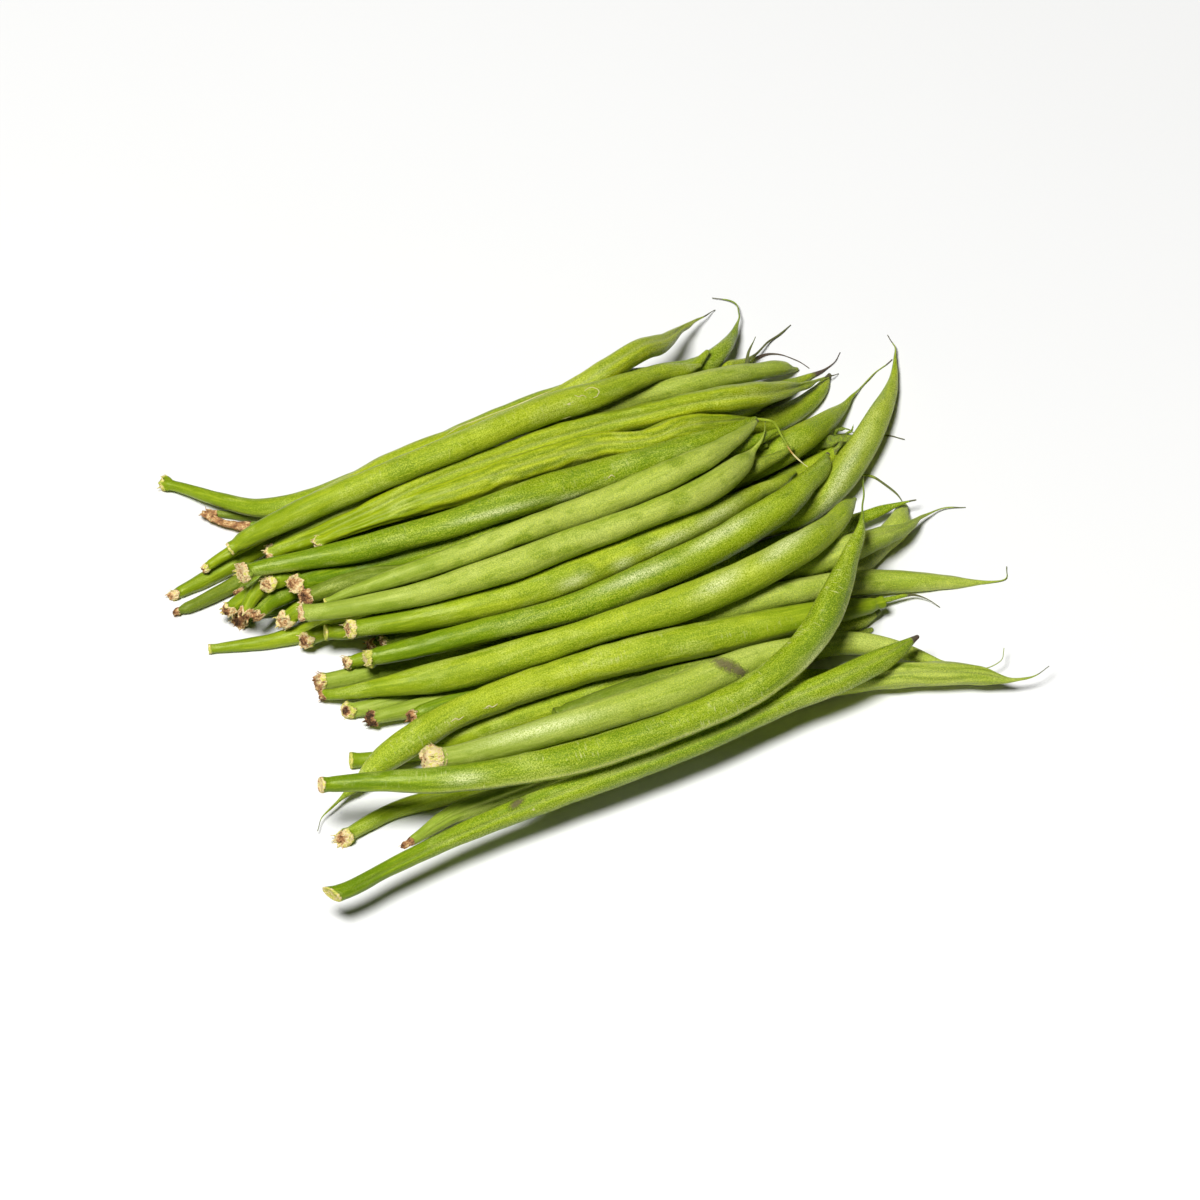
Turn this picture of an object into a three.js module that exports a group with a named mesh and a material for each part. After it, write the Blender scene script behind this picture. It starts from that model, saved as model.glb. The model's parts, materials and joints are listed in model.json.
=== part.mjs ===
// A heap of fresh green beans, about 45 of them, lying side by side on a flat surface.
// Millimetres, +Z up, +X along the beans from their stem ends to their tips.
// The origin is on the surface, under the middle of the heap.
//
// Each bean is drawn as a course on a slanted drawing board, which leans back over the
// heap, and is then laid on the beans under it. What a row gives is where the bean runs
// and how thick it is; its height above the surface is worked out.

import * as THREE from 'three';

// ---------------------------------------------------------------- driving dimensions

const BOARD_TURN = -27;        // degrees that the drawing board is turned about Z
const BOARD_LEAN = 50;         // degrees that its normal stands above the surface

const CLEARANCE = 0.6;         // gap kept between neighbouring beans
const TAIL_THICKNESS = 0.8;    // diameter of the dry thread at a tip

const SIDES = 8;               // sides of a bean's cross-section
const POD_RING_STEP = 12.5;    // distance between cross-sections along a pod
const TAIL_RING_STEP = 4;      // and along a tail
const SHORTEST_TAIL = 1;       // less than this beyond the tip is no tail
const BEAK_RINGS = [11, 6, 2.5];       // extra cross-sections, measured back from the tip
const KNOB_RINGS = [[0, 0.72], [1, 1], [2.5, 0.93]];   // [distance in, share of knob radius]
const KNOB_LENGTH = 4;         // where the knob has given way to the neck
const RAGGED = 0.1;            // how far a knob's corners stand in and out, as a share

const POD_STEP = 7;            // spacing of the points that a pod settles by
const TAIL_STEP = 4;           // and of those along its tail
const SAMPLE_STEP = 2;         // spacing of the points that are tested for contact
const THIN = 0.6;              // a point thinner than this gives way to the others
const FIRMNESS = 0.1;          // how far the thicker ones give way, next to a thin one
const HOLD_SEEN = 0.5;         // how firmly a bean keeps its drawn course, in each round
const HOLD_UNDER = 0.02;       // and where it runs under the heap
const STIFFNESS = 0.2;         // how firmly it keeps its own shape
const ROUNDS = 1400;           // rounds of sinking
const FIRST_FALL = 0.12;       // how far a free point falls in the first round
const LAST_FALL = 0.02;        // and in the last
const CLEARING_ROUNDS = 400;   // rounds that only part what still touches

// ---------------------------------------------------------------- colours

const GREENS = {
  fresh: 0x86a62a,
  deep: 0x6f9422,
  pale: 0x9db65a,
  bright: 0xa2c03c,
  dull: 0x71884a,
};
const ROUGHNESS = { fresh: 0.45, deep: 0.42, pale: 0.52, bright: 0.42, dull: 0.55 };

// ---------------------------------------------------------------- the beans
//
// Rows run from the first bean laid down to the last one on top. A course's points are
// [across the board, up the board, half thickness], from the stem end to the tip, and
// a tail's are [across, up]. knob is the radius of what is left of the flower stalk.
// under is the stretch, in shares of its length, that runs under the heap and may slide.
// A loose tail falls over whatever is laid down after its bean.

const BEANS = [
  // the lowest ones at the back
  { name: 'bean_26', green: 'dull', knob: 0.9,
    course: [[-98.8, 21.8, 0.8], [-90, 21.3, 1], [-80, 21.5, 2], [-62.5, 26.5, 2.8], [-37.5, 36.5, 3],
      [-12.5, 46.3, 3.3], [12.5, 53.5, 3.2], [30, 57, 2.5], [41.5, 61.8, 0.5]],
    tail: [[45, 61.8], [50, 59.8], [52.5, 58.3]] },
  { name: 'bean_25', green: 'deep', knob: 0.9,
    course: [[-99.8, 22, 0.8], [-94.5, 19.3, 1.3], [-87.5, 18.3, 1.3], [-80, 19.3, 2], [-62.5, 25, 2.8],
      [-37.5, 35.5, 3], [-12.5, 45.3, 3.3], [10, 53, 3.2], [22.5, 56.5, 3], [28, 58.5, 2.8],
      [32.8, 65.8, 1.1], [34.5, 69.5, 0.5]],
    tail: [[35, 72], [34.5, 74.3], [32.5, 75.5], [28.3, 75.8]] },
  { name: 'bean_23', green: 'fresh', knob: 1.3, under: [0.2, 0.95],
    course: [[-108, 0.5, 1.2], [-100, 4.5, 1.9], [-85, 12.3, 2.6], [-75, 17.5, 3], [-50, 29.5, 3.5],
      [-25, 41, 3.5], [0, 51, 3.5], [20, 56, 3.2], [36.3, 59.5, 0.8]],
    tail: [[38.8, 61.3], [42.5, 65], [48, 69]] },
  { name: 'bean_24', green: 'dull', knob: 0.9, under: [0.18, 0.97],
    course: [[-106.8, -3.3, 0.7], [-103, -2, 1.7], [-92.5, 3, 2], [-75, 11, 2.8], [-50, 23, 3.3],
      [-25, 34, 3.5], [0, 44, 3.5], [22.5, 52, 3.2], [35.5, 58.8, 0.8]],
    tail: [[37, 62], [39, 66]] },
  { name: 'bean_42', green: 'deep', knob: 1.7, under: [0.1, 1],
    course: [[-91, 0.5, 1.5], [-86.3, 4.3, 2], [-62.5, 15.8, 3], [-37.5, 26, 3.5], [0, 38, 3.5],
      [25, 46, 3.3], [48.8, 52, 0.6]] },
  { name: 'bean_40', green: 'fresh', knob: 1.7, under: [0.1, 1],
    course: [[-93.8, -3.3, 1.5], [-87.5, 1.3, 2], [-75, 6.8, 2.5], [-50, 15, 3.3], [-25, 23.8, 3.5],
      [0, 32, 3.5], [25, 40, 3.3], [47.5, 47, 0.6]] },
  { name: 'bean_39', green: 'deep', knob: 2, under: [0.1, 0.93],
    course: [[-91, -6, 1.8], [-87.5, -3, 2], [-75, 1.8, 2.5], [-50, 9.5, 3.3], [-25, 17.5, 3.5],
      [0, 25, 3.5], [25, 31.8, 3.3], [50, 36, 2.3], [59.5, 40, 0.6]] },
  { name: 'bean_37', green: 'fresh', knob: 1.2, under: [0.22, 1],
    course: [[-97.8, -12.3, 1.1], [-82.5, -10.3, 1.8], [-75, -8.5, 2.3], [-50, -0.5, 3],
      [-25, 8.8, 3.5], [0, 18, 3.5], [25, 25, 3.3], [47.5, 32.5, 0.6]] },
  { name: 'bean_36', green: 'fresh', knob: 2.1, under: [0.1, 0.95],
    course: [[-75, -10.8, 1.8], [-65, -6.3, 2.3], [-50, -2.5, 2.8], [-25, 4.3, 3.3], [0, 11, 3.5],
      [25, 17.5, 3.3], [42.5, 22, 2.5], [58.8, 26.3, 0.6]],
    tail: [[62.5, 29.5], [66.3, 31.5], [70, 30], [73.3, 27.5], [75.8, 24.5]] },
  { name: 'bean_30', green: 'pale', knob: 2.1, under: [0.25, 0.8],
    course: [[-71.5, -20.8, 1.9], [-60, -18.8, 2.5], [-50, -16, 2.8], [-30, -11.5, 3.3],
      [0, -5.5, 3.5], [25, -1.5, 3.5], [45, 1, 3.3], [60, 6, 3.2], [69, 13, 3], [74, 19, 2.4],
      [75.8, 23, 1.6]] },
  { name: 'bean_21', green: 'pale', knob: 2, under: [0.1, 0.8],
    course: [[-64.8, -27.8, 1.7], [-50, -25.5, 2.5], [-42.5, -24.3, 2.8], [-25, -18, 3],
      [0, -9.5, 3.3], [25, -1.3, 3.5], [45, 5.5, 3.5], [65, 13.8, 3.4], [75, 17.5, 1.7],
      [78, 19.5, 0.7]],
    tail: [[83.8, 22.3], [88.8, 23.3], [91.5, 23.3]] },
  { name: 'bean_18', green: 'pale', knob: 1.9, under: [0.1, 0.6],
    course: [[-58.3, -29.8, 1.5], [-47.5, -27, 2.3], [-25, -20, 2.8], [0, -11.5, 3], [25, -3.5, 3],
      [45, 1.3, 3.2], [65, 4.3, 3.1], [75, 4.3, 2.8], [85, 4.5, 1.9], [93.8, 4.6, 0.5]],
    tail: [[97.5, 4.5], [101.5, 5.5], [102.8, 7.8], [101.8, 8.3]] },
  { name: 'bean_32', green: 'deep', knob: 1.6, under: [0.08, 0.85],
    course: [[-48, -29.5, 1.6], [-40, -26.3, 2.3], [-20, -20.5, 2.8], [0, -16, 3], [25, -9.5, 3],
      [50, -3.5, 2.8], [67.5, -0.3, 2], [78, 1.5, 0.6]],
    tail: [[81.3, 0.5], [84.8, -1.8]] },
  { name: 'bean_33', green: 'fresh', knob: 2, under: [0.12, 0.85],
    course: [[-62.5, -40, 1.8], [-52.5, -39.3, 2], [-42.5, -37, 2.5], [-22.5, -28, 3.3],
      [0, -19.5, 3.5], [25, -13, 3.5], [45, -9.8, 3.3], [57.5, -7.5, 2.5], [69.3, -3, 1]] },
  { name: 'bean_34', green: 'dull', knob: 1.6, under: [0, 1],
    course: [[-12, -27.5, 1.5], [-5, -26, 2.7], [5, -23, 3.3], [25, -16.5, 3.3],
      [50, -11, 2.8], [67.5, -6.5, 0.6]] },
  { name: 'bean_20', green: 'fresh', knob: 2.1, under: [0.2, 1],
    course: [[-65.3, -60, 1.6], [-57.5, -55.5, 1.9], [-47.5, -50.8, 2.3], [-40, -49, 2.5],
      [-20, -41.3, 3], [0, -33.3, 3.2], [25, -25, 3.2], [50, -20.8, 3], [66, -18.5, 0.6]] },

  // the next ones up, in the grooves between those
  { name: 'bean_38', green: 'fresh', knob: 1.7, under: [0.1, 0.75],
    course: [[-89.3, -4.5, 1.5], [-84.5, 3, 2], [-75, 8, 2.5], [-50, 18.3, 3], [-25, 27.5, 3.3],
      [0, 35.5, 3.3], [25, 41.3, 3.3], [40, 43.8, 3], [50, 48, 2.8], [56.5, 54.5, 1.1],
      [57.8, 56.5, 0.5]] },
  { name: 'bean_41', green: 'deep', knob: 1.6, under: [0.08, 1],
    course: [[-86.3, -4.5, 1.5], [-80, 2, 2.3], [-62.5, 9.3, 2.8], [-37.5, 18, 3.3],
      [0, 29.5, 3.3], [25, 36.3, 3.3], [47.5, 43, 0.6]] },
  { name: 'bean_22', green: 'fresh', knob: 2.2, under: [0.1, 0.8],
    course: [[-80, -6.3, 1.9], [-72.5, -0.8, 2.3], [-50, 7.5, 3], [-25, 16.3, 3.5], [0, 24.3, 3.8],
      [25, 30.5, 4], [45, 37.5, 4], [52.5, 41.5, 3.5], [57.5, 45.5, 2.3], [61.3, 49, 0.8]],
    tail: [[65, 53], [70, 57.8], [73.5, 60.5]] },
  { name: 'bean_35', green: 'fresh', knob: 2, under: [0.05, 1],
    course: [[-68.8, -8, 2], [-55, -6.8, 2.5], [-25, 2.5, 3.3], [0, 13.8, 3.5], [25, 22.5, 3.5],
      [45, 30, 3], [60, 37.5, 1.5], [66.5, 41, 0.6]],
    tail: [[70, 42], [72.3, 41.5], [76.3, 40.3]] },
  { name: 'bean_31', green: 'deep', knob: 1.6, under: [0.05, 0.85],
    course: [[-58.3, -11.8, 1.5], [-52.5, -10, 2.3], [-25, -2, 3], [0, 5.5, 3.3], [25, 11, 3.3],
      [50, 15.8, 3], [61.8, 18.8, 2.3], [70, 22.5, 1], [78.8, 25, 0.5]] },
  { name: 'bean_17', green: 'fresh', knob: 1.6, under: [0.05, 0.72],
    course: [[-64.3, -16, 1.5], [-50, -12.5, 2.3], [-25, -4.5, 3], [0, 4.3, 3.3], [25, 13, 3.5],
      [45, 20.8, 3.8], [55.5, 26.3, 4.2], [62.5, 33.8, 4], [68.3, 42.5, 3.4], [72.3, 51.3, 2.1],
      [73.5, 55.5, 0.9], [74, 60, 0.5]],
    tail: [[74, 62.5], [73.8, 64.3], [72.3, 66.5]] },
  { name: 'bean_43', green: 'dull', knob: 1.6, under: [0, 1],
    course: [[-66, 18, 1.6], [-50, 25, 2.8], [-25, 34, 3.5], [0, 42, 3.5], [25, 48, 3.2],
      [40, 51, 0.8]] },
  { name: 'bean_44', green: 'dull', knob: 1.6, under: [0, 1],
    course: [[-62, 3, 1.6], [-50, 8, 2.8], [-25, 17, 3.5], [0, 26, 3.5], [25, 33, 3.2],
      [42, 37, 0.8]] },
  { name: 'bean_45', green: 'dull', knob: 1.6, under: [0, 1],
    course: [[-56, -8, 1.6], [-45, -4, 2.8], [-25, 3, 3.5], [0, 13, 3.5], [25, 21, 3.2],
      [44, 28, 0.8]] },

  // the top of the heap, from the back to the front
  { name: 'bean_01', green: 'fresh', knob: 1.7,
    course: [[-110.5, 29.5, 1.3], [-105, 28.3, 1.3], [-93.8, 24.8, 1.9], [-81.3, 23, 2.5],
      [-70, 25, 3], [-50, 33, 3.2], [-30, 42.8, 3.2], [-10, 50.5, 3.1], [12.5, 56, 2.6],
      [22.5, 58.5, 1.4], [26.8, 62, 0.7]] },
  { name: 'bean_03', green: 'bright', knob: 1.2,
    course: [[-99.5, 7.3, 1], [-93.8, 11.3, 1.5], [-75, 21.3, 2.5], [-60, 29.5, 3], [-45, 36.3, 3.3],
      [-25, 43.8, 3.3], [-10, 50.3, 3.2], [0, 56, 3], [10, 61.2, 3], [16.3, 64.8, 2.2],
      [20, 68, 0.8]],
    tail: [[25, 70.8], [29, 72.8]] },
  { name: 'bean_04', green: 'pale', knob: 1.7, under: [0, 0.5],
    course: [[-82.5, 10, 1.5], [-75, 17.5, 2.3], [-65, 23.8, 3], [-50, 30.5, 3.2], [-25, 38.8, 3.3],
      [0, 47, 3.2], [10, 51, 3], [20, 53.3, 2.8], [30, 55.8, 2.7], [40, 57.3, 2.2],
      [49.3, 58, 0.6]] },
  { name: 'bean_02', green: 'fresh', knob: 1.7,
    course: [[-92.8, 12.8, 1.6], [-90, 14.8, 2.2], [-80, 19.8, 3], [-60, 28.5, 3.3], [-40, 36.8, 3.3],
      [-20, 45, 3.6], [-10, 49, 3.7], [0, 51.5, 3.3], [10, 55.3, 2.4], [17.5, 57.5, 1.7],
      [25, 59, 0.6]] },
  { name: 'bean_27', green: 'fresh', knob: 2.1, under: [0.12, 0.8],
    course: [[-84.5, 3.8, 2], [-75, 7, 2.5], [-50, 16.3, 3], [-25, 25, 3.3], [0, 34.5, 3.3],
      [25, 43, 3.2], [42.5, 51.5, 2.3], [52, 56.2, 0.6]],
    tail: [[56.5, 57.8], [58.5, 59.3], [60.3, 62.3]] },
  { name: 'bean_05', green: 'bright', knob: 1.6,
    course: [[-83.8, 10.8, 1.4], [-75, 14, 2.2], [-65, 18.3, 2.5], [-45, 28.5, 3], [-25, 36, 3.5],
      [-15, 39.5, 3.5], [5, 44.8, 3], [25, 49, 3], [35, 50.5, 3.4], [45, 52.5, 2.5],
      [50, 53.8, 0.8]],
    tail: [[55, 55.3], [59.8, 57]] },
  { name: 'bean_28', green: 'deep', knob: 2.2, under: [0.3, 1],
    course: [[-77.8, 3.8, 2], [-70, 5.5, 2.5], [-50, 10, 3.3], [-20, 18.3, 3.5], [0, 26.3, 3.5],
      [25, 36.3, 3], [43.8, 42.5, 0.6]] },
  { name: 'bean_29', green: 'dull', knob: 2, under: [0.2, 1],
    course: [[-75, 0.5, 1.8], [-65, 3.5, 2.3], [-55, 6.3, 2.8], [-37.5, 10, 3.3], [0, 21.8, 3.3],
      [25, 30, 3], [47.5, 38.3, 0.6]] },
  { name: 'bean_06', green: 'bright', knob: 1.4, looseTail: true,
    course: [[-71.8, 13.8, 1.3], [-65, 16.8, 1.3], [-55, 20.5, 2], [-45, 24.3, 3], [-40, 25.5, 3.4],
      [-20, 33, 3.7], [-10, 36, 3.5], [0, 38.5, 3.5], [10, 38.8, 3], [20, 41.8, 3.4],
      [30, 44.5, 2], [38.8, 45.3, 0.5]],
    tail: [[43, 44.8], [45.8, 40.5], [49.5, 35], [52, 33.5]] },
  { name: 'bean_07', green: 'deep', knob: 2.7,
    course: [[-91, 6.3, 1.9], [-85, 7.8, 1.8], [-65, 11.5, 3], [-45, 16.8, 3.4], [-35, 19.5, 3.5],
      [-15, 26.3, 4.1], [-5, 29.8, 4], [15, 35, 3.3], [25, 39, 2.8], [38.8, 45.5, 0.6]] },
  { name: 'bean_08', green: 'pale', knob: 0.9,
    course: [[-69, -0.3, 0.8], [-60, 2.8, 1.6], [-50, 5.8, 2.4], [-30, 12.8, 2.9], [-10, 20.3, 3.3],
      [0, 24, 3.6], [20, 32, 3.5], [30, 37.8, 2.5], [39.3, 44.8, 0.5]] },
  { name: 'bean_09', green: 'pale', knob: 2.3, looseTail: true,
    course: [[-75.5, -3.3, 2.1], [-65, -2.3, 2.3], [-45, 1.5, 2.9], [-25, 7.8, 3.7], [-5, 14.8, 3.5],
      [15, 22.8, 3.2], [25, 27.5, 3.5], [30, 30, 3.6], [35, 33.8, 2.7], [38, 37.3, 0.7]],
    tail: [[41.3, 41.5], [42, 43.5], [41.3, 44.8]] },
  { name: 'bean_10', green: 'fresh', knob: 2.5,
    course: [[-63.8, -7, 2.1], [-55, -6.3, 2.3], [-45, -4.5, 3], [-25, 0, 3.6], [-5, 6.5, 4.1],
      [15, 15.5, 3.6], [25, 20, 3.4], [35, 24.8, 2.5], [48.8, 32, 0.5]] },
  { name: 'bean_11', green: 'deep', knob: 2.2,
    course: [[-59.5, -14.8, 2], [-50, -12.8, 2.5], [-30, -7.8, 2.9], [-10, -2.8, 3.3], [0, 0.5, 3.9],
      [10, 4.8, 4.2], [30, 14, 4.1], [40, 20, 4.2], [47.5, 25, 3.7], [52.5, 30, 2.5],
      [57, 36.5, 0.6]] },
  { name: 'bean_12', green: 'fresh', knob: 1.4,
    course: [[-70.5, -23.8, 1.3], [-60, -22.8, 1.8], [-50, -21, 3], [-40, -19.3, 4], [-20, -13.8, 4],
      [0, -7.3, 3.5], [20, -1.3, 4.5], [30, 2.8, 4.5], [50, 12.8, 4], [57.5, 18, 3.2],
      [62, 23, 1.5], [63.8, 25.3, 0.5]] },
  { name: 'bean_13', green: 'fresh', knob: 1.5,
    course: [[70.8, -0.5, 1.4], [65, -2, 2.4], [52.5, -4, 3.3], [35, -7.8, 4.1], [15, -11.8, 4.4],
      [-5, -17.3, 4], [-25, -24, 3.9], [-35, -28, 3.6], [-42.5, -32.3, 3.7], [-50, -37.3, 4],
      [-55, -40.5, 3.3], [-58.8, -44.5, 2], [-63.8, -49, 0.8]],
    tail: [[-68.8, -53.8], [-71.3, -57], [-70.3, -57.3]] },
  { name: 'bean_14', green: 'pale', knob: 3.1,
    course: [[-43, -39.3, 2.5], [-38.8, -39.3, 2.5], [-20, -34.8, 3.4], [0, -28.8, 3.8],
      [20, -22.3, 4], [30, -18, 3.9], [45, -13, 3.3], [65, -10.8, 2.8], [75, -12.5, 2.2],
      [85, -15.5, 0.6]],
    tail: [[91, -16.5], [97, -17], [99.5, -15.8], [100.8, -12]] },
  { name: 'bean_19', green: 'pale', knob: 0.9, under: [0.15, 0.55],
    course: [[-49.3, -61.5, 0.8], [-45, -58.8, 1.5], [-37.5, -53.8, 2.3], [-20, -46.8, 3],
      [0, -38.5, 3.2], [25, -30, 3], [50, -23, 3], [64, -20, 3.1], [77.5, -18.6, 3.2], [85, -18.3, 3.1],
      [92.5, -18.5, 2.7], [102, -19.8, 0.6]],
    tail: [[106.3, -19.5], [110.5, -18], [112, -16.5]] },
  { name: 'bean_16', green: 'deep', knob: 2.3,
    course: [[-67.8, -73.5, 2.1], [-63, -72.2, 2.1], [-55, -67.9, 2.1], [-35, -58.3, 2.6],
      [-15, -50.3, 3.1], [5, -42.8, 3.3], [25, -35.3, 3], [45, -26, 3], [65, -17.5, 3.3],
      [72.5, -13.3, 2.5], [79, -9.3, 0.7]] },
  { name: 'bean_15', green: 'deep', knob: 2,
    course: [[-70, -46, 1.9], [-55, -45, 2.5], [-45, -45, 3.2], [-25, -43, 3.6], [-5, -39, 4.2],
      [15, -32.5, 3.9], [35, -24, 3.9], [42.5, -19.3, 4], [48.8, -13.8, 4], [53.8, -8, 4],
      [57, -2, 4], [59.5, 3, 3.5], [61.5, 8.8, 2.5], [64.8, 17.5, 1]],
    tail: [[65.5, 21.3], [65.8, 27.5], [66, 30.8]] },
];

// ---------------------------------------------------------------- the drawing board

const turn = THREE.MathUtils.degToRad(BOARD_TURN);
const lean = THREE.MathUtils.degToRad(BOARD_LEAN);
const ACROSS = new THREE.Vector3(Math.cos(turn), Math.sin(turn), 0);
const UP_BOARD = new THREE.Vector3(
  -Math.sin(turn) * Math.sin(lean), Math.cos(turn) * Math.sin(lean), Math.cos(lean));
const OFF_BOARD = new THREE.Vector3(
  Math.sin(turn) * Math.cos(lean), -Math.cos(turn) * Math.cos(lean), Math.sin(lean));
const WORLD_UP = new THREE.Vector3(0, 0, 1);

const FLAT_SIDE = Math.cos(Math.PI / SIDES);   // a flat side's distance, as a share of radius

// How far off the board a point is, from its place up the board and its height.
function depthAt(v, height) {
  return (height - v * Math.cos(lean)) / Math.sin(lean);
}

function heightAt(v, depth) {
  return v * Math.cos(lean) + depth * Math.sin(lean);
}

function placeInSpace(u, v, height) {
  return new THREE.Vector3()
    .addScaledVector(ACROSS, u)
    .addScaledVector(UP_BOARD, v)
    .addScaledVector(OFF_BOARD, depthAt(v, height));
}

// ---------------------------------------------------------------- a bean as a chain of points

function toVectors(points) {
  return points.map(([u, v, radius = TAIL_THICKNESS / 2]) => new THREE.Vector3(u, v, radius));
}

// Evenly spaced points of a drawn line, about a given step apart.
function spaced(curve, step) {
  return curve.getSpacedPoints(Math.max(2, Math.round(curve.getLength() / step)));
}

// girth is the drawn half thickness, and radius is what keeps others away.
function chainPoint({ x, y, z }, hold) {
  const yielding = z < THIN ? 1 : FIRMNESS;
  return { u: x, v: y, girth: z, radius: z, yielding, hold, place: new THREE.Vector3() };
}

function podCurve(row) {
  return new THREE.CatmullRomCurve3(toVectors(row.course));
}

function tailPoints(row) {
  const tip = row.course[row.course.length - 1];
  const drawn = spaced(new THREE.CatmullRomCurve3(toVectors([tip, ...row.tail])), TAIL_STEP);
  return drawn.slice(1).map((point) => chainPoint(point, HOLD_SEEN));
}

// Evenly spaced points of a pod, with one more in the beak, where it tapers fast.
function podPoints(row) {
  const curve = podCurve(row);
  const points = spaced(curve, POD_STEP);
  points.splice(-1, 0, curve.getPointAt(1 - 0.5 / (points.length - 1)));
  return points;
}

// The points of one bean's pod, from its stem end, with those of its tail after them.
function makeBean(row) {
  const [from, to] = row.under ?? [1, 0];
  const pod = podPoints(row).map((point, k, all) => {
    const share = k / (all.length - 1);
    return chainPoint(point, share >= from && share <= to ? HOLD_UNDER : HOLD_SEEN);
  });
  pod[0].radius = Math.max(pod[0].radius, row.knob);
  const tail = row.tail && !row.looseTail ? tailPoints(row) : [];
  return { row, podCount: pod.length, chain: [...pod, ...tail] };
}

// ---------------------------------------------------------------- laying the beans down

// The lowest that a point of a bean can be: on the surface, or on a bean under it.
function lowestHeight(point, laid) {
  let lowest = point.radius * FLAT_SIDE;
  for (const other of laid) {
    const reach = point.radius + other.radius + CLEARANCE;
    const free = reach ** 2 - (point.u - other.u) ** 2 - (point.v - other.v) ** 2;
    if (free > 0) {
      const depth = other.place.dot(OFF_BOARD) + Math.sqrt(free);
      lowest = Math.max(lowest, heightAt(point.v, depth));
    }
  }
  return lowest;
}

// Points close enough together along a bean to test others against.
function contactPoints(chain) {
  const points = [];
  for (let k = 1; k < chain.length; k += 1) {
    const a = chain[k - 1];
    const b = chain[k];
    const steps = Math.ceil(a.place.distanceTo(b.place) / SAMPLE_STEP);
    for (let step = 0; step <= steps; step += 1) {
      const share = step / steps;
      const place = a.place.clone().lerp(b.place, share);
      const radius = THREE.MathUtils.lerp(a.radius, b.radius, share);
      points.push({ u: place.dot(ACROSS), v: place.dot(UP_BOARD), radius, place });
    }
  }
  return points;
}

// Holds each bean level over those before it, in the order in which they are stacked.
function stack(chains) {
  const laid = [];
  for (const chain of chains) {
    for (const point of chain) point.place.copy(placeInSpace(point.u, point.v, 0));
    const samples = contactPoints(chain);
    const height = Math.max(...samples.map((sample) => lowestHeight(sample, laid)));
    for (const point of chain) point.place.copy(placeInSpace(point.u, point.v, height));
    laid.push(...contactPoints(chain));
  }
}

// Draws a point back to its drawn place on the board, at whatever depth it is.
function holdToCourse(point) {
  const du = point.u - point.place.dot(ACROSS);
  const dv = point.v - point.place.dot(UP_BOARD);
  point.place.addScaledVector(ACROSS, du * point.hold).addScaledVector(UP_BOARD, dv * point.hold);
}

// Bends three points of a bean back towards the shape that they have in it at rest.
function straighten({ a, b, c, share, rest }) {
  const offset = a.place.clone().lerp(c.place, share).sub(b.place).sub(rest);
  b.place.addScaledVector(offset, STIFFNESS);
  a.place.addScaledVector(offset, -STIFFNESS * (1 - share));
  c.place.addScaledVector(offset, -STIFFNESS * share);
}

function makeBends(chain) {
  return chain.slice(1, -1).map((b, k) => {
    const a = chain[k];
    const c = chain[k + 2];
    const before = a.place.distanceTo(b.place);
    const share = before / (before + b.place.distanceTo(c.place));
    const rest = a.place.clone().lerp(c.place, share).sub(b.place);
    return { a, b, c, share, rest };
  });
}

function makeLinks(chains) {
  return chains.map((chain) => chain.slice(1).map((b, k) => ({
    a: chain[k],
    b,
    line: new THREE.Line3(chain[k].place, b.place),
    thickest: Math.max(chain[k].radius, b.radius),
    middle: new THREE.Vector3(),
    half: 0,
  })));
}

const nearA = new THREE.Vector3();
const nearB = new THREE.Vector3();
const push = new THREE.Vector3();

function shareAlong(link, point) {
  const length = link.a.place.distanceTo(link.b.place);
  return length > 0 ? link.a.place.distanceTo(point) / length : 0;
}

// Parts two links that are closer than their thickness allows.
function part(one, two) {
  const apart = one.middle.distanceTo(two.middle);
  if (apart > one.half + two.half + one.thickest + two.thickest + CLEARANCE) return;
  const distance = Math.sqrt(one.line.distanceSqToLine3(two.line, nearA, nearB));
  const s = shareAlong(one, nearA);
  const t = shareAlong(two, nearB);
  const thickness = THREE.MathUtils.lerp(one.a.radius, one.b.radius, s)
    + THREE.MathUtils.lerp(two.a.radius, two.b.radius, t);
  const short = thickness + CLEARANCE - distance;
  if (short <= 0 || distance === 0) return;
  push.subVectors(nearA, nearB).normalize();
  const moves = [
    [one.a, (1 - s) * one.a.yielding], [one.b, s * one.b.yielding],
    [two.a, -(1 - t) * two.a.yielding], [two.b, -t * two.b.yielding],
  ];
  const give = (1 - s) * moves[0][1] + s * moves[1][1] - (1 - t) * moves[2][1] - t * moves[3][1];
  for (const [point, amount] of moves) {
    point.place.addScaledVector(push, (amount * short) / give);
  }
}

function partAll(links) {
  for (const bean of links) {
    for (const link of bean) {
      link.middle.addVectors(link.a.place, link.b.place).multiplyScalar(0.5);
      link.half = link.a.place.distanceTo(link.b.place) / 2;
    }
  }
  for (let i = 1; i < links.length; i += 1) {
    for (let j = 0; j < i; j += 1) {
      for (const one of links[i]) {
        for (const two of links[j]) part(one, two);
      }
    }
  }
}

function keepAboveSurface(point) {
  point.place.z = Math.max(point.place.z, point.radius * FLAT_SIDE);
}

// Lets the whole stack sink until it lies close, and then clears the last overlaps.
function settle(chains) {
  const links = makeLinks(chains);
  const bends = chains.flatMap(makeBends);
  const points = chains.flat();
  for (let round = 0; round < ROUNDS; round += 1) {
    const fall = THREE.MathUtils.lerp(FIRST_FALL, LAST_FALL, round / ROUNDS);
    for (const point of points) {
      point.place.z -= fall;
      holdToCourse(point);
    }
    bends.forEach(straighten);
    partAll(links);
    points.forEach(keepAboveSurface);
  }
  for (let round = 0; round < CLEARING_ROUNDS; round += 1) {
    partAll(links);
    points.forEach(keepAboveSurface);
  }
}

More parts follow.
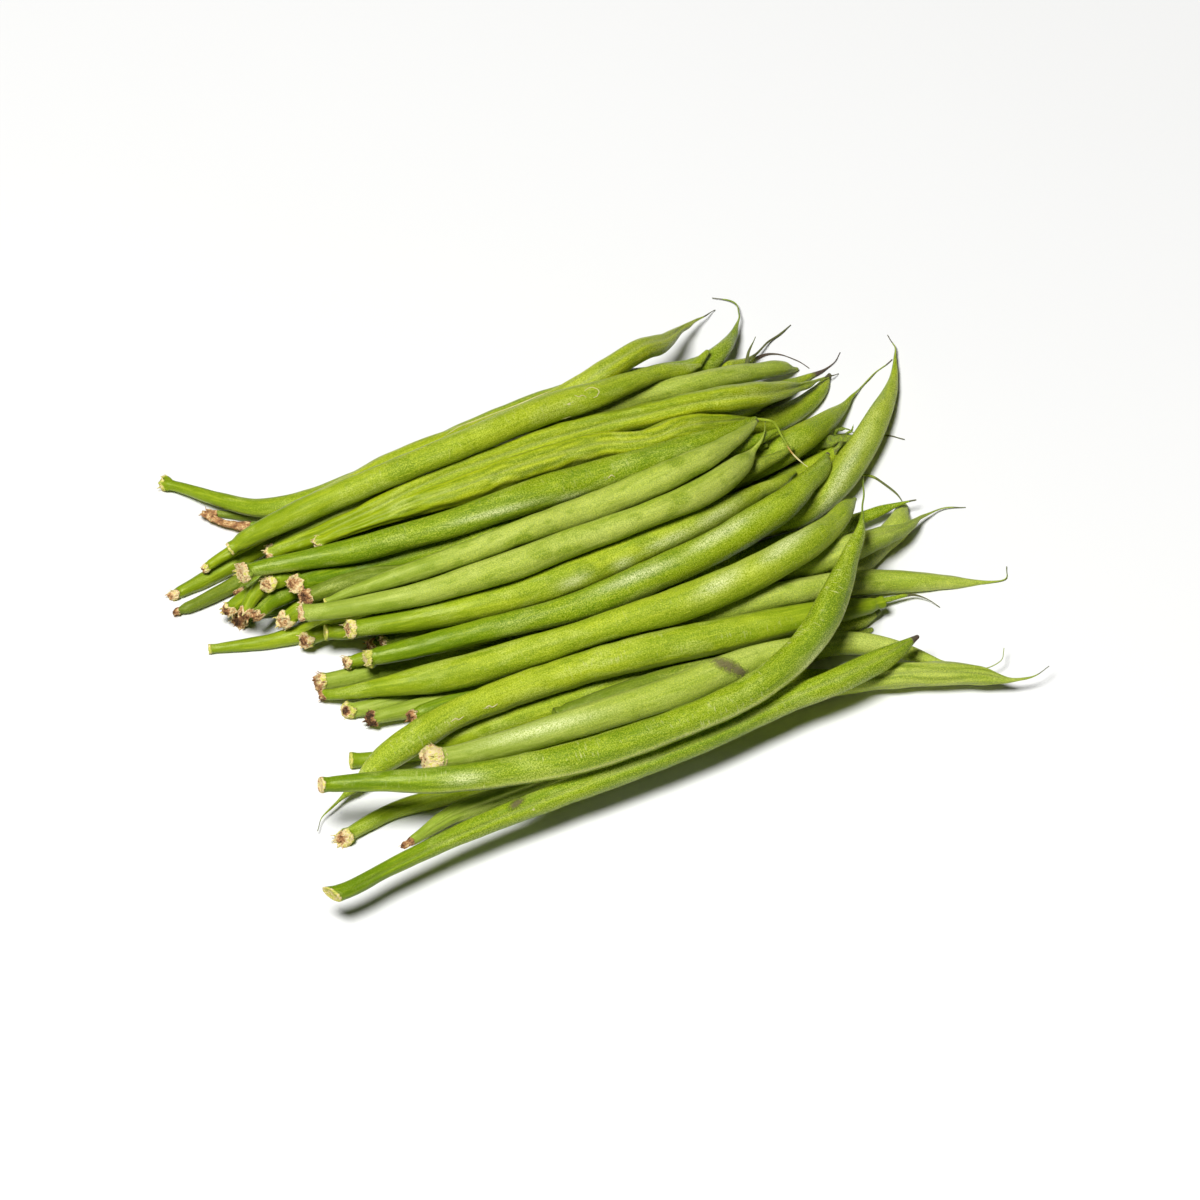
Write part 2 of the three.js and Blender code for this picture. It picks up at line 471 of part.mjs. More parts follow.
// Lays a loose tail over everything else, on from the tip of its pod.
function layLooseTail({ row, chain }, laid) {
  const tipHeight = chain[chain.length - 1].place.z;
  for (const point of tailPoints(row)) {
    const height = Math.max(tipHeight, lowestHeight(point, laid));
    point.place.copy(placeInSpace(point.u, point.v, height));
    chain.push(point);
  }
}

// ---------------------------------------------------------------- cross-sections

// Where along a bean its cross-sections stand, in millimetres from the stem end.
function stations(podLength, wholeLength) {
  const last = podLength - BEAK_RINGS[0];
  const steps = Math.round((last - KNOB_LENGTH) / POD_RING_STEP);
  const stride = (last - KNOB_LENGTH) / steps;
  const pod = Array.from({ length: steps + 1 }, (_, k) => KNOB_LENGTH + stride * k);
  const beak = BEAK_RINGS.slice(1).map((back) => podLength - back);
  const tailLength = wholeLength - podLength;
  const tailSteps = tailLength > SHORTEST_TAIL
    ? Math.max(2, Math.round(tailLength / TAIL_RING_STEP)) : 0;
  const tail = Array.from({ length: tailSteps }, (_, k) => (k + 1) / tailSteps);
  return [...pod, ...beak, podLength, ...tail.map((share) => podLength + tailLength * share)];
}

// The cross-sections of one laid bean: centre, radius, and whether the edge is ragged.
function crossSections({ row, chain, podCount }) {
  const course = new THREE.CatmullRomCurve3(chain.map((point) => point.place));
  const girths = new THREE.CatmullRomCurve3(
    chain.map((point, k) => new THREE.Vector3(k * POD_STEP, point.girth, 0)));
  const length = course.getLength();
  const podEnd = (podCount - 1) / (chain.length - 1);
  const podLength = course.getLengths().find((_, k, all) => k >= podEnd * (all.length - 1));
  const sectionAt = (at) => {
    const t = course.getUtoTmapping(Math.min(at / length, 1));
    return { centre: course.getPoint(t), radius: girths.getPoint(t).y };
  };
  const knob = KNOB_RINGS.map(([at, share]) => (
    { ...sectionAt(at), radius: row.knob * share, ragged: true }));
  return [...knob, ...stations(podLength, length).map(sectionAt)];
}

// ---------------------------------------------------------------- a bean's skin

const ON_SURFACE = 0.15;       // a corner this close to the surface lies flat on it

// The corners of one cross-section, square to the way that the bean runs there.
function ringCorners(section, centre, along) {
  const side = new THREE.Vector3().crossVectors(WORLD_UP, along).normalize();
  const up = new THREE.Vector3().crossVectors(along, side);
  return Array.from({ length: SIDES }, (_, k) => {
    const angle = ((k + 0.5) * 2 * Math.PI) / SIDES;
    const radius = section.radius * (section.ragged && k % 2 ? 1 - RAGGED : 1);
    const corner = centre.clone()
      .addScaledVector(side, radius * Math.cos(angle))
      .addScaledVector(up, radius * Math.sin(angle));
    if (corner.z < ON_SURFACE) corner.z = 0;
    return corner;
  });
}

function skin(sections) {
  const centres = sections.map(({ centre }) => centre);
  const last = sections.length - 1;
  const corners = sections.flatMap((section, k) => {
    const along = centres[Math.min(k + 1, last)].clone().sub(centres[Math.max(k - 1, 0)]);
    return ringCorners(section, centres[k], along.normalize());
  });
  const stemEnd = corners.length;
  const tip = stemEnd + 1;
  const faces = [];
  for (let k = 0; k < SIDES; k += 1) {
    const next = (k + 1) % SIDES;
    faces.push(stemEnd, next, k);
    faces.push(tip, last * SIDES + k, last * SIDES + next);
    for (let ring = 0; ring < last; ring += 1) {
      const a = ring * SIDES;
      const b = a + SIDES;
      faces.push(a + k, a + next, b + next);
      faces.push(a + k, b + next, b + k);
    }
  }
  const shape = new THREE.BufferGeometry().setFromPoints([...corners, centres[0], centres[last]]);
  shape.setIndex(faces);
  return shape;
}

function beanMesh(row, sections) {
  const material = new THREE.MeshStandardMaterial({
    color: GREENS[row.green],
    roughness: ROUGHNESS[row.green],
    metalness: 0,
  });
  const mesh = new THREE.Mesh(skin(sections), material);
  mesh.name = row.name;
  return mesh;
}

// ---------------------------------------------------------------- the heap

function layHeap() {
  const beans = BEANS.map(makeBean);
  const chains = beans.map(({ chain }) => chain);
  stack(chains);
  settle(chains);
  const laid = chains.flatMap(contactPoints);
  for (const bean of beans.filter(({ row }) => row.looseTail)) {
    layLooseTail(bean, laid);
    laid.push(...contactPoints(bean.chain.slice(bean.podCount)));
  }
  return beans;
}

const heap = new THREE.Group();
for (const bean of layHeap()) heap.add(beanMesh(bean.row, crossSections(bean)));

const box = new THREE.Box3().setFromObject(heap);
const middle = box.getCenter(new THREE.Vector3());
heap.position.set(-middle.x, -middle.y, 0);

export default heap;
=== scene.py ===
# A loose bundle of fresh green beans, dressed over its solids.
# Metres, +X from the stem ends to the tips, +Z up from the surface. MM turns millimetres into metres.
import json
import math
from dataclasses import dataclass

import bpy
import numpy as np
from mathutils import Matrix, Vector


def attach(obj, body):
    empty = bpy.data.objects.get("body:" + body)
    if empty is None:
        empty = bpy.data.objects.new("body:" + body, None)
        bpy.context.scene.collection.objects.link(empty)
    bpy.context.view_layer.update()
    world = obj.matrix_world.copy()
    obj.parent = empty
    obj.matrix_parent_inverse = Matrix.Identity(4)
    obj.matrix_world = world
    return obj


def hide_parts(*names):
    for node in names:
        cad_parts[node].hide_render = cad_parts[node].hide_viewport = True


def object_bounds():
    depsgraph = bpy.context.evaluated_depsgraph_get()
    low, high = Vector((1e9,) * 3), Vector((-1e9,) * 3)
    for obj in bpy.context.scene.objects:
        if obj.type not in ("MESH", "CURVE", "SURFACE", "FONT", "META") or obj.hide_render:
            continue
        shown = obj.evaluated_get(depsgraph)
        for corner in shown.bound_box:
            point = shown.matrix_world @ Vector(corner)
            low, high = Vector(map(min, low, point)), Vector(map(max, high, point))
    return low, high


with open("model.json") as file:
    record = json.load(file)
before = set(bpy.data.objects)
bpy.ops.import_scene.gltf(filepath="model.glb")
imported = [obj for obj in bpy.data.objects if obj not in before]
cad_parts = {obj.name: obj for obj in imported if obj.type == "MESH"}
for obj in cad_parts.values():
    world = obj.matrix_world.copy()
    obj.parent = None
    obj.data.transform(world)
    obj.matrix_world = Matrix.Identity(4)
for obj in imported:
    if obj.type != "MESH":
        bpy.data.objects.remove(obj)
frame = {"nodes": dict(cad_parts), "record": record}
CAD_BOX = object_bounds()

MM = 0.001

# ---------------- the view

VIEW_TURN = -27              # degrees that the camera stands round from the front
VIEW_LEAN = 50               # degrees that it looks down
VIEW_WIDTH = 300             # millimetres across the whole view, at the beans
VIEW_DISTANCE = 10
SENSOR = 36
# Where the stem ends of three beans stand in the view, in millimetres across and up from its middle.
STEM_ENDS_IN_VIEW = {1: (-110.5, 29.5), 15: (-70, -46), 16: (-67.8, -73.5)}

turn, lean = math.radians(VIEW_TURN), math.radians(VIEW_LEAN)
ACROSS = np.array([math.cos(turn), math.sin(turn), 0])
UP_VIEW = np.array([-math.sin(turn) * math.sin(lean), math.cos(turn) * math.sin(lean), math.cos(lean)])
TO_VIEWER = np.array([math.sin(turn) * math.cos(lean), -math.cos(turn) * math.cos(lean), math.sin(lean)])

# ---------------- how each bean looks


@dataclass
class Look:
    """What sets one bean off from the others. Angles are degrees round it from the side seen."""

    stem: str = "calyx"      # calyx, a torn crown; husk, a torn lump; cut, a clean end; dry, shrivelled
    rim_tone: float = 0.35   # from 0, pale yellow green, through beige and brown to 1, nearly black;
                             # below 0 the end stays green
    face_tone: float = 0.6   # the same for the middle of the end
    face: float = 14         # how far the end face turns to one side
    face_side: float = 0     # and to which side
    reach: float = 0         # millimetres that the torn crown stands further out
    withered: float = 0      # millimetres of the neck that are brown too
    seam: float = 200        # where the seam runs
    groove: float = 0.1      # how deep it is let in, in millimetres
    groove_wide: float = 12  # degrees to each side
    pale_seam: float = 0.3   # how pale the line of the seam is
    dark_seam: float = 0.35  # how dark the two seams are towards the tip
    ribs: float = 0          # height of the lengthwise ridges, in millimetres
    seeds: float = 0.2       # how far the seeds swell the pod, in millimetres
    twist: float = 20        # degrees that the seam turns along the pod
    belly: float = 0.5       # how much fuller the beak is on one side, in millimetres
    belly_side: float = 270  # and which side that is
    blade: float = 0         # millimetres of the beak that have shrunk to a thin blade
    tail_width: float = 0.7  # share of the solid's thickness that the tail has
    tail_tone: float = 0.35  # from 0, olive, through grey brown and purple brown to 1, cream
    dark_tip: float = 0      # millimetres of the tail or beak that have dried
    tint: float = 0          # below 0 is deeper, above is lighter
    spots: float = 0.5       # how many soft dark green spots
    streaks: float = 0.1     # how many short pale streaks across


LOOKS = {
    1: Look("calyx", 0.13, 0.2, 8, seam=-60, tint=-0.35, spots=0.2),
    2: Look("cut", 0.12, 0.16, 5, seam=95, seeds=0.1, tint=-0.15, spots=0.6, streaks=0.3, belly=0.8),
    3: Look("dry", 0.2, 0.6, 10, seam=12, groove=0.45, groove_wide=13, seeds=0.1, ribs=0.08,
            pale_seam=0.5, tint=0.2, dark_tip=7),
    4: Look(seam=150, seeds=0.08, spots=0.7, belly=1.2, belly_side=70),
    5: Look(seam=4, groove=0.75, groove_wide=15, ribs=0.1, seeds=0.16, twist=-18, dark_tip=8, belly=0.9),
    6: Look("calyx", 0.32, 0.5, seam=14, groove=0.75, groove_wide=13, ribs=0.26, seeds=0.1, twist=-22,
            tail_width=0.9, tail_tone=0.84, dark_tip=12, tint=0.2, spots=0.9),
    7: Look("calyx", 0.28, 0.4, 24, seam=110, seeds=0.14, tint=-0.1, streaks=0.35),
    8: Look("cut", 0.04, 0.1, 0, seam=-95, seeds=0.1, dark_tip=0.8, spots=0.9),
    9: Look("dry", 0.34, 0.42, 8, seam=100, seeds=0.12, dark_tip=0.8, spots=1),
    10: Look("calyx", 0.2, seam=-100, seeds=0.12, spots=0.8, tint=0.1, belly=1),
    11: Look("calyx", 0.08, 0.3, 20, seam=120, seeds=0.15, belly=1.6, tail_tone=0.6, dark_tip=0.8,
             spots=0.6),
    12: Look("dry", 0.65, 0.7, 20, seam=-85, seeds=0.14, pale_seam=0.5, belly=0.9, belly_side=70,
             tint=0.15, streaks=0.3),
    13: Look("cut", -1, 0.1, 0, seam=70, seeds=0.16, pale_seam=0.9, blade=9, tail_tone=0.25, dark_tip=4,
             streaks=0.6),
    14: Look("husk", 0.24, 0.34, 10, reach=1.8, seam=80, withered=1.2, seeds=0.13, tint=0.1, spots=0.3),
    15: Look("cut", 0.26, 0.34, 15, seam=-56, groove=-0.3, groove_wide=8, pale_seam=1, seeds=0.18,
             twist=12, tail_width=1.1, tail_tone=0.1, dark_tip=1, tint=-0.1, streaks=1),
    16: Look("cut", 0.1, 0.12, 32, -70, seam=5, groove=0.36, groove_wide=10, seeds=0.05, dark_tip=2.5,
             tail_tone=0.55, tint=-0.1, streaks=0.3),
    17: Look("calyx", 0.3, 0.65, seam=-80, seeds=0.1, pale_seam=0.6, dark_seam=1, dark_tip=4, spots=0.7),
    18: Look("calyx", 0.75, 0.95, seam=60, seeds=0.14, dark_tip=3, tail_tone=0.1),
    19: Look("dry", 0.6, 0.7, seam=0, groove=0.5, groove_wide=10, seeds=0.14, ribs=0.14, withered=2,
             dark_tip=5, tail_tone=0.2, tail_width=0.5, tint=-0.1),
    20: Look("calyx", 0.22, 0.55, 30, seam=90, tint=-0.1),
    21: Look("calyx", 0.14, 0.8, 32, seam=10, groove=0.25, groove_wide=14, belly=1, dark_tip=4,
             tail_tone=0.1),
    22: Look("calyx", 0.3, 0.45, 24, seam=-90, dark_seam=1, tail_tone=0.6, dark_tip=3),
    23: Look("dry", 0.3, 0.6, 35, seam=30, tail_width=0.9, dark_tip=22, tail_tone=0.25),
    24: Look("dry", 0.56, 0.7, 20, seam=-30, tail_width=0.9, dark_tip=16, tail_tone=0.2),
    25: Look("dry", 0.56, withered=12, seam=80, dark_seam=1, dark_tip=3, tint=-0.2),
    26: Look("dry", 0.55, 0.7, withered=1.5, seam=40, blade=14, dark_tip=20, tail_tone=0.55,
             tail_width=0.4),
    27: Look("calyx", 0.25, 0.5, 24, seam=-70, tail_tone=0.55, dark_tip=14, tail_width=0.5),
    28: Look("calyx", 0.36, 0.6, 24, seam=-60, tint=-0.1),
    29: Look("calyx", 0.55, 0.85, 20, seam=60),
    30: Look("husk", 0.44, 0.55, 12, seam=-90, belly=1.7, tint=0.1, tail_tone=0.1),
    31: Look("calyx", 0.5, 0.8, seam=100, dark_seam=1, tail_tone=0.3, dark_tip=2, blade=5),
    32: Look("calyx", 0.55, 0.8, seam=60, blade=16, dark_tip=12, tail_tone=0.3),
    33: Look("cut", 0, 0.1, 5, seam=60, belly=0.9, dark_tip=0.3, tail_tone=0.1),
    34: Look("cut", -1, 0.05, seam=90, tint=-0.4),
    35: Look("cut", 0, 0.04, 0, seam=-70, dark_tip=6, tail_tone=0.3),
    36: Look("calyx", 0.28, 0.7, 26, seam=70, tail_width=1.5, tail_tone=0.2, dark_tip=14),
    37: Look("cut", 0.04, 0.08, 0, seam=85),
    38: Look("calyx", 0.45, 0.7, seam=-80, dark_tip=2),
    39: Look("calyx", 0.5, 0.85, seam=20),
    40: Look("calyx", 0.35, 0.7, seam=80),
    41: Look("calyx", 0.45, 0.6, 10, seam=30),
    42: Look("calyx", 0.55, 0.9, seam=-30),
    43: Look(),
    44: Look(),
    45: Look(),
}

# Single marks on the skins, and pale patches of painted highlight: which bean, where across and up in the
# view (millimetres from its middle), how long and wide, and how many degrees their length rises.
MARKS_AND_PAINTED_HIGHLIGHTS = {
    "bruise": [
        (2, -50, 33, 3.6, 2.8, 0), (6, -26.8, 31, 1.6, 1, 0), (8, -18.8, 14.8, 2.8, 2, 0),
        (8, 18.8, 34.6, 2.6, 1.6, 0), (9, -25.2, 3.6, 3.2, 1.8, 0), (9, -14.8, 11.4, 3.2, 1.5, 0),
        (9, 20.2, 25.4, 2.8, 1.8, 0), (10, 11.8, 14.6, 3.4, 2, 0), (10, -3.8, 7.6, 3.2, 2, 0),
    ],
    "scar": [
        (14, 32.3, -16.6, 4.6, 1.3, -24), (14, 35.2, -18, 1.8, 1.2, -40),
        (16, -20.8, -50.8, 1.9, 0.8, 35), (16, 36.5, -27.3, 1.4, 0.6, 30),
    ],
    "crust": [
        (2, -3, 51.5, 1.6, 1, 0), (2, -8, 49, 2, 0.7, 25), (7, 2, 30.5, 1.2, 0.7, 0),
        (12, -62, -20, 2, 1.4, 0), (13, -37, -30.5, 2.2, 0.8, 0), (13, -28.5, -27, 2, 0.8, 0),
        (13, -51, -35, 2.2, 0.9, 0), (13, 28, -1, 2.6, 0.7, 0), (16, -16.8, -52.3, 1.3, 0.7, 20),
        (18, 100, 7.8, 1, 1, 0),
    ],
    # Painted highlight: pale patches laid where the sheen of the lamp falls on the pods.
    "painted_highlight": [
        (7, -26, 22, 11, 0.8, 15), (7, -7.5, 25.6, 3.5, 1, 14), (10, 17.6, 15.2, 6, 1.3, 26),
        (10, 5.8, 9.2, 2.6, 1.3, 24), (10, -6.6, 4.6, 4, 1.3, 22), (10, 29, 21.2, 6, 1.2, 30),
        (11, 9, 6, 10, 1.1, 22), (11, 30, 16.5, 9, 1.2, 30), (12, 30, 4.3, 6, 1.8, 30),
        (12, 46, 13.5, 7, 1.6, 36), (13, 40, -20, 14, 1.5, 8), (14, -14, -32, 14, 1.5, 15),
        (15, -34, -44.6, 4.5, 1.4, 6), (15, 52, -17, 9, 1.2, 56), (17, 60, 30, 16, 1.5, 62),
    ],
}

# Thin pale scratches and threads of the seam, each along points in the view: bean, points, half width.
SCRATCHES = [
    (2, [(-5, 51.8), (-3.8, 52.6), (-2.6, 52.4), (-1.9, 51.4), (-2.2, 50.4), (-3.1, 49.9)], 0.13),
    (2, [(-7.6, 50.6), (-6.6, 50.2), (-5.8, 50.6), (-4.8, 50)], 0.1),
    (2, [(-9.8, 43.9), (-8.8, 44.6), (-7.6, 45.2)], 0.2),
    (3, [(-40, 40.5), (-33, 44.8), (-26, 48.8), (-19, 52), (-13.5, 54)], 0.14),
    (7, [(1.2, 30.2), (2, 30.9), (3, 30.4)], 0.14),
    (13, [(-38.4, -30.8), (-37.2, -30), (-36.2, -30.2), (-35, -29.4)], 0.2),
    (13, [(-29.6, -27.4), (-28.6, -26.7), (-27.6, -27), (-26.4, -26.2)], 0.18),
]

SCRATCH_TONE = 1.3
SCRATCH_LIFT = 0.02 * MM
NEAR_EDGE = 0.95             # how near to the edge of a pod a thread may lie, as a share of its radius
FACES_VIEWER = 0.1           # how far a point of the skin is turned to the viewer, where it takes a mark

# ---------------- reading the solids


def merged_points(mesh):
    """The corners of a solid, each once, and the places in them that its faces name."""
    corners = np.empty(len(mesh.vertices) * 3)
    mesh.vertices.foreach_get("co", corners)
    micrometres = np.round(corners.reshape(-1, 3) * 1e6).astype(int)
    points, place = np.unique(micrometres, axis=0, return_inverse=True)
    return points * 1e-6, place.ravel()


def neighbours(mesh, place, count):
    near = [set() for _ in range(count)]
    for face in mesh.polygons:
        loop = [int(place[v]) for v in face.vertices]
        for a, b in zip(loop, loop[1:] + loop[:1]):
            near[a].add(b)
            near[b].add(a)
    return near


SOLID_SIDES = 8


def node_of(number):
    """The name of a bean's solid."""
    return f"bean_{number:02d}"


def solid_rings(number):
    """The cross-sections of a bean's solid from its stem end: centres and radii."""
    mesh = frame["nodes"][node_of(number)].data
    points, place = merged_points(mesh)
    near = neighbours(mesh, place, len(points))
    end = next(k for k, n in enumerate(near) if len(n) == SOLID_SIDES)
    seen, layer, rings = {end}, [end], []
    while layer:
        layer = [k for k in {n for one in layer for n in near[one]} if k not in seen]
        seen.update(layer)
        if len(layer) == SOLID_SIDES:
            rings.append(points[layer])
    centres = np.array([ring.mean(axis=0) for ring in rings])
    radii = np.array([np.linalg.norm(ring - c, axis=1).max() for ring, c in zip(rings, centres)])
    # the stem end's first two cross-sections are the closest ones
    if np.linalg.norm(centres[1] - centres[0]) > np.linalg.norm(centres[-1] - centres[-2]):
        centres, radii = centres[::-1], radii[::-1]
    return centres, radii


RINGS = {number: solid_rings(number) for number in LOOKS}

# ---------------- camera


def aim_point():
    """The point on the surface that stands in the middle of the view."""
    offsets = []
    for number, (u, v) in STEM_ENDS_IN_VIEW.items():
        stem_end = RINGS[number][0][0]
        offsets.append((stem_end @ ACROSS - u * MM, stem_end @ UP_VIEW - v * MM))
    across, up = np.mean(offsets, axis=0)
    point = ACROSS * across + UP_VIEW * up
    return point - TO_VIEWER * (point[2] / TO_VIEWER[2])


AIM = aim_point()


def in_view(points):
    """How far points stand across and up from the middle of the view, and how much larger they look."""
    seen = points - AIM
    return seen @ ACROSS, seen @ UP_VIEW, VIEW_DISTANCE / (VIEW_DISTANCE - seen @ TO_VIEWER)


def add_object(name, data, place=(0, 0, 0)):
    made = bpy.data.objects.new(name, data)
    made.location = place
    bpy.context.scene.collection.objects.link(made)
    return made


def turn_to(thing, way):
    thing.rotation_mode = "QUATERNION"
    thing.rotation_quaternion = way.to_track_quat("-Z", "Y")


def make_camera():
    data = bpy.data.cameras.new("camera")
    data.sensor_width = SENSOR
    data.lens = SENSOR * VIEW_DISTANCE / (VIEW_WIDTH * MM)
    camera = add_object("camera", data, AIM + TO_VIEWER * VIEW_DISTANCE)
    turn_to(camera, Vector(-TO_VIEWER))
    bpy.context.scene.camera = camera


make_camera()

# ---------------- a bean's course

SIDES = 44                   # corners of a fine cross-section
POD_STEP = 1.0 * MM          # between fine cross-sections
TAIL_STEP = 0.7 * MM
KNOB_RINGS = 3               # of the solid's cross-sections, those that belong to the knob
KNOB_END = 4 * MM
THREAD = 0.55 * MM           # thinner than this is tail
LEAST_POD = 0.2 * MM         # the least radius of a pod, and of a tail
LEAST_TAIL = 0.1 * MM
TAIL_TAPER = 0.5             # share of its radius that a tail loses towards its end, and once more at it
CAP_TURNS = np.radians([25, 50, 70, 84])   # the cross-sections that round off a blunt tip
TAIL_SHAKE = 0.14            # how far a tail strays from its course, in millimetres
HINGE = 0.85                 # where a slanted end face turns about, as a share of the knob's radius
END_DOME = 0.02 * MM         # how far the middle of an end stands out
SLIVER_SIDES = 6             # corners of a thread, flake or leaf
THIN = 0.1 * MM              # half their thickness
SEED = 7000                  # for the random draws, with the bean's number added
PATTERN_SHIFT = np.array([37.0, 0, 11.0])   # millimetres that the pattern moves from bean to bean
OLIVE = 0.55                 # how much of the pod's green the olive of the tail covers

ANGLES = np.arange(SIDES) * 2 * math.pi / SIDES


def lengths_along(points):
    return np.concatenate([[0], np.cumsum(np.linalg.norm(np.diff(points, axis=0), axis=1))])


def smooth_through(at, knots, values):
    """Values at some places, on a smooth line through the knots, and straight on beyond its ends."""
    slopes = np.gradient(values, knots, axis=0)
    inside = np.clip(at, knots[0], knots[-1])
    k = np.clip(np.searchsorted(knots, inside, side="right") - 1, 0, len(knots) - 2)
    h = knots[k + 1] - knots[k]
    t = (inside - knots[k]) / h
    shape = (-1,) + (1,) * (values.ndim - 1)
    t, h, beyond = t.reshape(shape), h.reshape(shape), (at - inside).reshape(shape)
    t2, t3 = t * t, t * t * t
    on_line = ((2 * t3 - 3 * t2 + 1) * values[k] + (t3 - 2 * t2 + t) * h * slopes[k]
               + (3 * t2 - 2 * t3) * values[k + 1] + (t3 - t2) * h * slopes[k + 1])
    return on_line + beyond * np.where(at.reshape(shape) < inside.reshape(shape), slopes[0], slopes[-1])


def smooth_path(points, count):
    """A smooth line of so many points through the given ones."""
    knots = np.linspace(0, 1, len(points))
    return smooth_through(np.linspace(0, 1, count), knots, np.array(points, float))


def carried_sides(along, towards):
    """Two directions square to a course, carried along it without a turn. The first faces the viewer."""
    first = np.empty_like(along)
    middle = len(along) // 2
    first[middle] = towards
    for order in (range(middle, len(along)), range(middle, -1, -1)):
        last = towards
        for k in order:
            last = last - along[k] * (last @ along[k])
            last = last / np.linalg.norm(last)
            first[k] = last
    return first, np.cross(first, along)


def fade(x, start, end):
    """0 at start and 1 at end, smooth between; start may be the larger one."""
    t = np.clip((x - start) / (end - start), 0, 1)
    return t * t * (3 - 2 * t)


def unit(vectors):
    return vectors / np.linalg.norm(vectors, axis=1)[:, None]


def bell(x, width):
    """1 where x is 0, and next to nothing two widths away."""
    return np.exp(-(x / width) ** 2)


def from_seam(seam):
    """The angle of each corner from the seam, from minus to plus half a turn."""
    return (ANGLES - seam[:, None] + math.pi) % (2 * math.pi) - math.pi


def ripples(draw, s, waves, around):
    """A smooth uneven surface over a course and round it, from about -1 to 1."""
    total = 0
    for _ in range(waves):
        period = draw.uniform(6, 40) * MM
        turns = draw.integers(0, around + 1)
        total = total + np.sin(2 * math.pi * s / period + turns * ANGLES + draw.uniform(0, 2 * math.pi))
    return total / math.sqrt(waves)


# ---------------- the stem end
#
# RAGGED is how far a torn rim stands out, along and in the radius; CRUMPLED how uneven its skin is.
# Each row is one cross-section: its radius as a share of the knob's, and how far in it stands, in
# millimetres. They run from the middle of the end face outwards, over the rim, and along the neck.

CROWNS = {
    "calyx": [(0.1, 0.15), (0.24, 0.05), (0.38, 0.3), (0.5, 0.15), (0.62, 0.45), (0.73, 0.25),
              (0.83, 0.45), (0.92, 0.4), (0.99, 0.75), (1.04, 1.2), (0.99, 1.7), (0.93, 2.2),
              (0.88, 2.7), (0.86, 3.2)],
    "husk": [(0.1, 0.5), (0.24, 0.15), (0.42, 0.4), (0.56, 0.05), (0.7, 0.45), (0.82, 0.25), (0.92, 0.8),
             (1, 1), (0.97, 1.5), (1.04, 2), (0.98, 2.5), (1.02, 3), (0.97, 3.5)],
    "cut": [(0.1, 0.45), (0.3, 0.42), (0.52, 0.36), (0.72, 0.26), (0.86, 0.12), (0.95, 0.03),
            (1.02, 0.14), (1.04, 0.45), (1.02, 0.9), (0.98, 1.4), (0.94, 2), (0.91, 2.6), (0.9, 3.1)],
    "dry": [(0.1, 0.05), (0.35, 0), (0.6, 0.08), (0.8, 0.3), (0.94, 0.65), (1, 1), (0.92, 1.4),
            (0.88, 1.8), (0.95, 2.3), (1, 2.8), (0.98, 3.2)],
}
RAGGED = {"calyx": (0.6, 0.13), "husk": (0.5, 0.12), "cut": (0.12, 0.05), "dry": (0.3, 0.14)}
CRUMPLED = {"calyx": 0.07, "husk": 0.08, "cut": 0.012, "dry": 0.055}
FLAKES = {"calyx": 7, "husk": 12, "cut": 0, "dry": 3}
DRY_REACH = {"calyx": 1.35, "husk": 2.6, "cut": 0.5, "dry": 1.2}   # millimetres from the end that are dry
FACE_REACH = 9 * MM          # how far from the end its slant has died away
RIM_WIDE = 2.2               # cross-sections to each side that a torn rim draws along


def torn_edge(draw):
    """How far each corner of a torn rim stands out, from about -1 to 1."""
    edge = draw.uniform(-0.4, 0.4, SIDES)
    for lobes in (1, 2, 3, 4, 5, 9):
        edge += draw.uniform(0.2, 0.9) / math.sqrt(lobes) * np.sin(lobes * ANGLES + draw.uniform(0, 6.3))
    return edge


def rim_of(stem):
    """The place of the widest cross-section of a stem end."""
    return max(range(len(CROWNS[stem])), key=lambda k: CROWNS[stem][k][0])


def crown_rings(look, draw, knob, neck):
    """Cross-sections of the stem end: distance in, radius and slip along of each corner, and the share
    of each that is dry."""
    slip, stray = RAGGED[look.stem]
    edge = torn_edge(draw)
    lumps = [(lobes, *draw.uniform(0, 6.3, 2)) for lobes in (2, 3, 5)]
    rim = rim_of(look.stem)
    inset, radius, moved, dry = [], [], [], []
    for k, (share, depth) in enumerate(CROWNS[look.stem]):
        at_rim = bell(k - rim, RIM_WIDE)
        to_neck = fade(depth, 1.6, 4) if k > rim else 0
        lumpy = sum(np.sin(lobes * ANGLES + start + k * turn / 6) for lobes, start, turn in lumps) / 3
        uneven = CRUMPLED[look.stem] * (1 - to_neck)
        knobbly = (draw.uniform(-0.7, 0.7, SIDES) + 1.6 * lumpy) * uneven
        corner = knob * share * (1 + stray * at_rim * np.roll(edge, 5) + knobbly)
        inset.append(depth * MM)
        radius.append(corner * (1 - to_neck) + neck * to_neck)
        crumple = (draw.uniform(-2, 2, SIDES) + 6 * lumpy) * uneven * min(share * 2, 1)
        further = look.reach * fade(depth, 4, 1)
        moved.append((crumple - edge * slip * at_rim - further) * MM)
        dry.append(np.full(SIDES, 1 - to_neck * 0.6))
    return np.array(inset), np.array(radius), np.array(moved), np.array(dry)


# ---------------- the pod and its tail

BEAK = 12 * MM               # the stretch before the tip where the pod narrows
NECK = 14 * MM               # and the one after the stem end
SEED_PITCH = 10.5 * MM
PITCH_STRAY = 1.4 * MM       # how far the seeds stray from an even pitch
SEED_FLANK, SEED_ROUND = 0.55, 0.1   # how much a seed swells the flanks, and the whole pod
SHOULDER = 0.35              # how high the shoulders of a groove stand, as a share of its depth
BACK_SEAM = 0.05             # how deep the second seam lies, in millimetres
OVAL, UNEVEN = 0.05, 0.06    # how far the pod is from round, and its skin from even, in millimetres
RIBS_ROUND = 7
BEAK_FLAT = 0.16             # share of its radius that the pod loses on its flanks at the tip
BLADE_SHRUNK = 0.6           # and that a blade loses


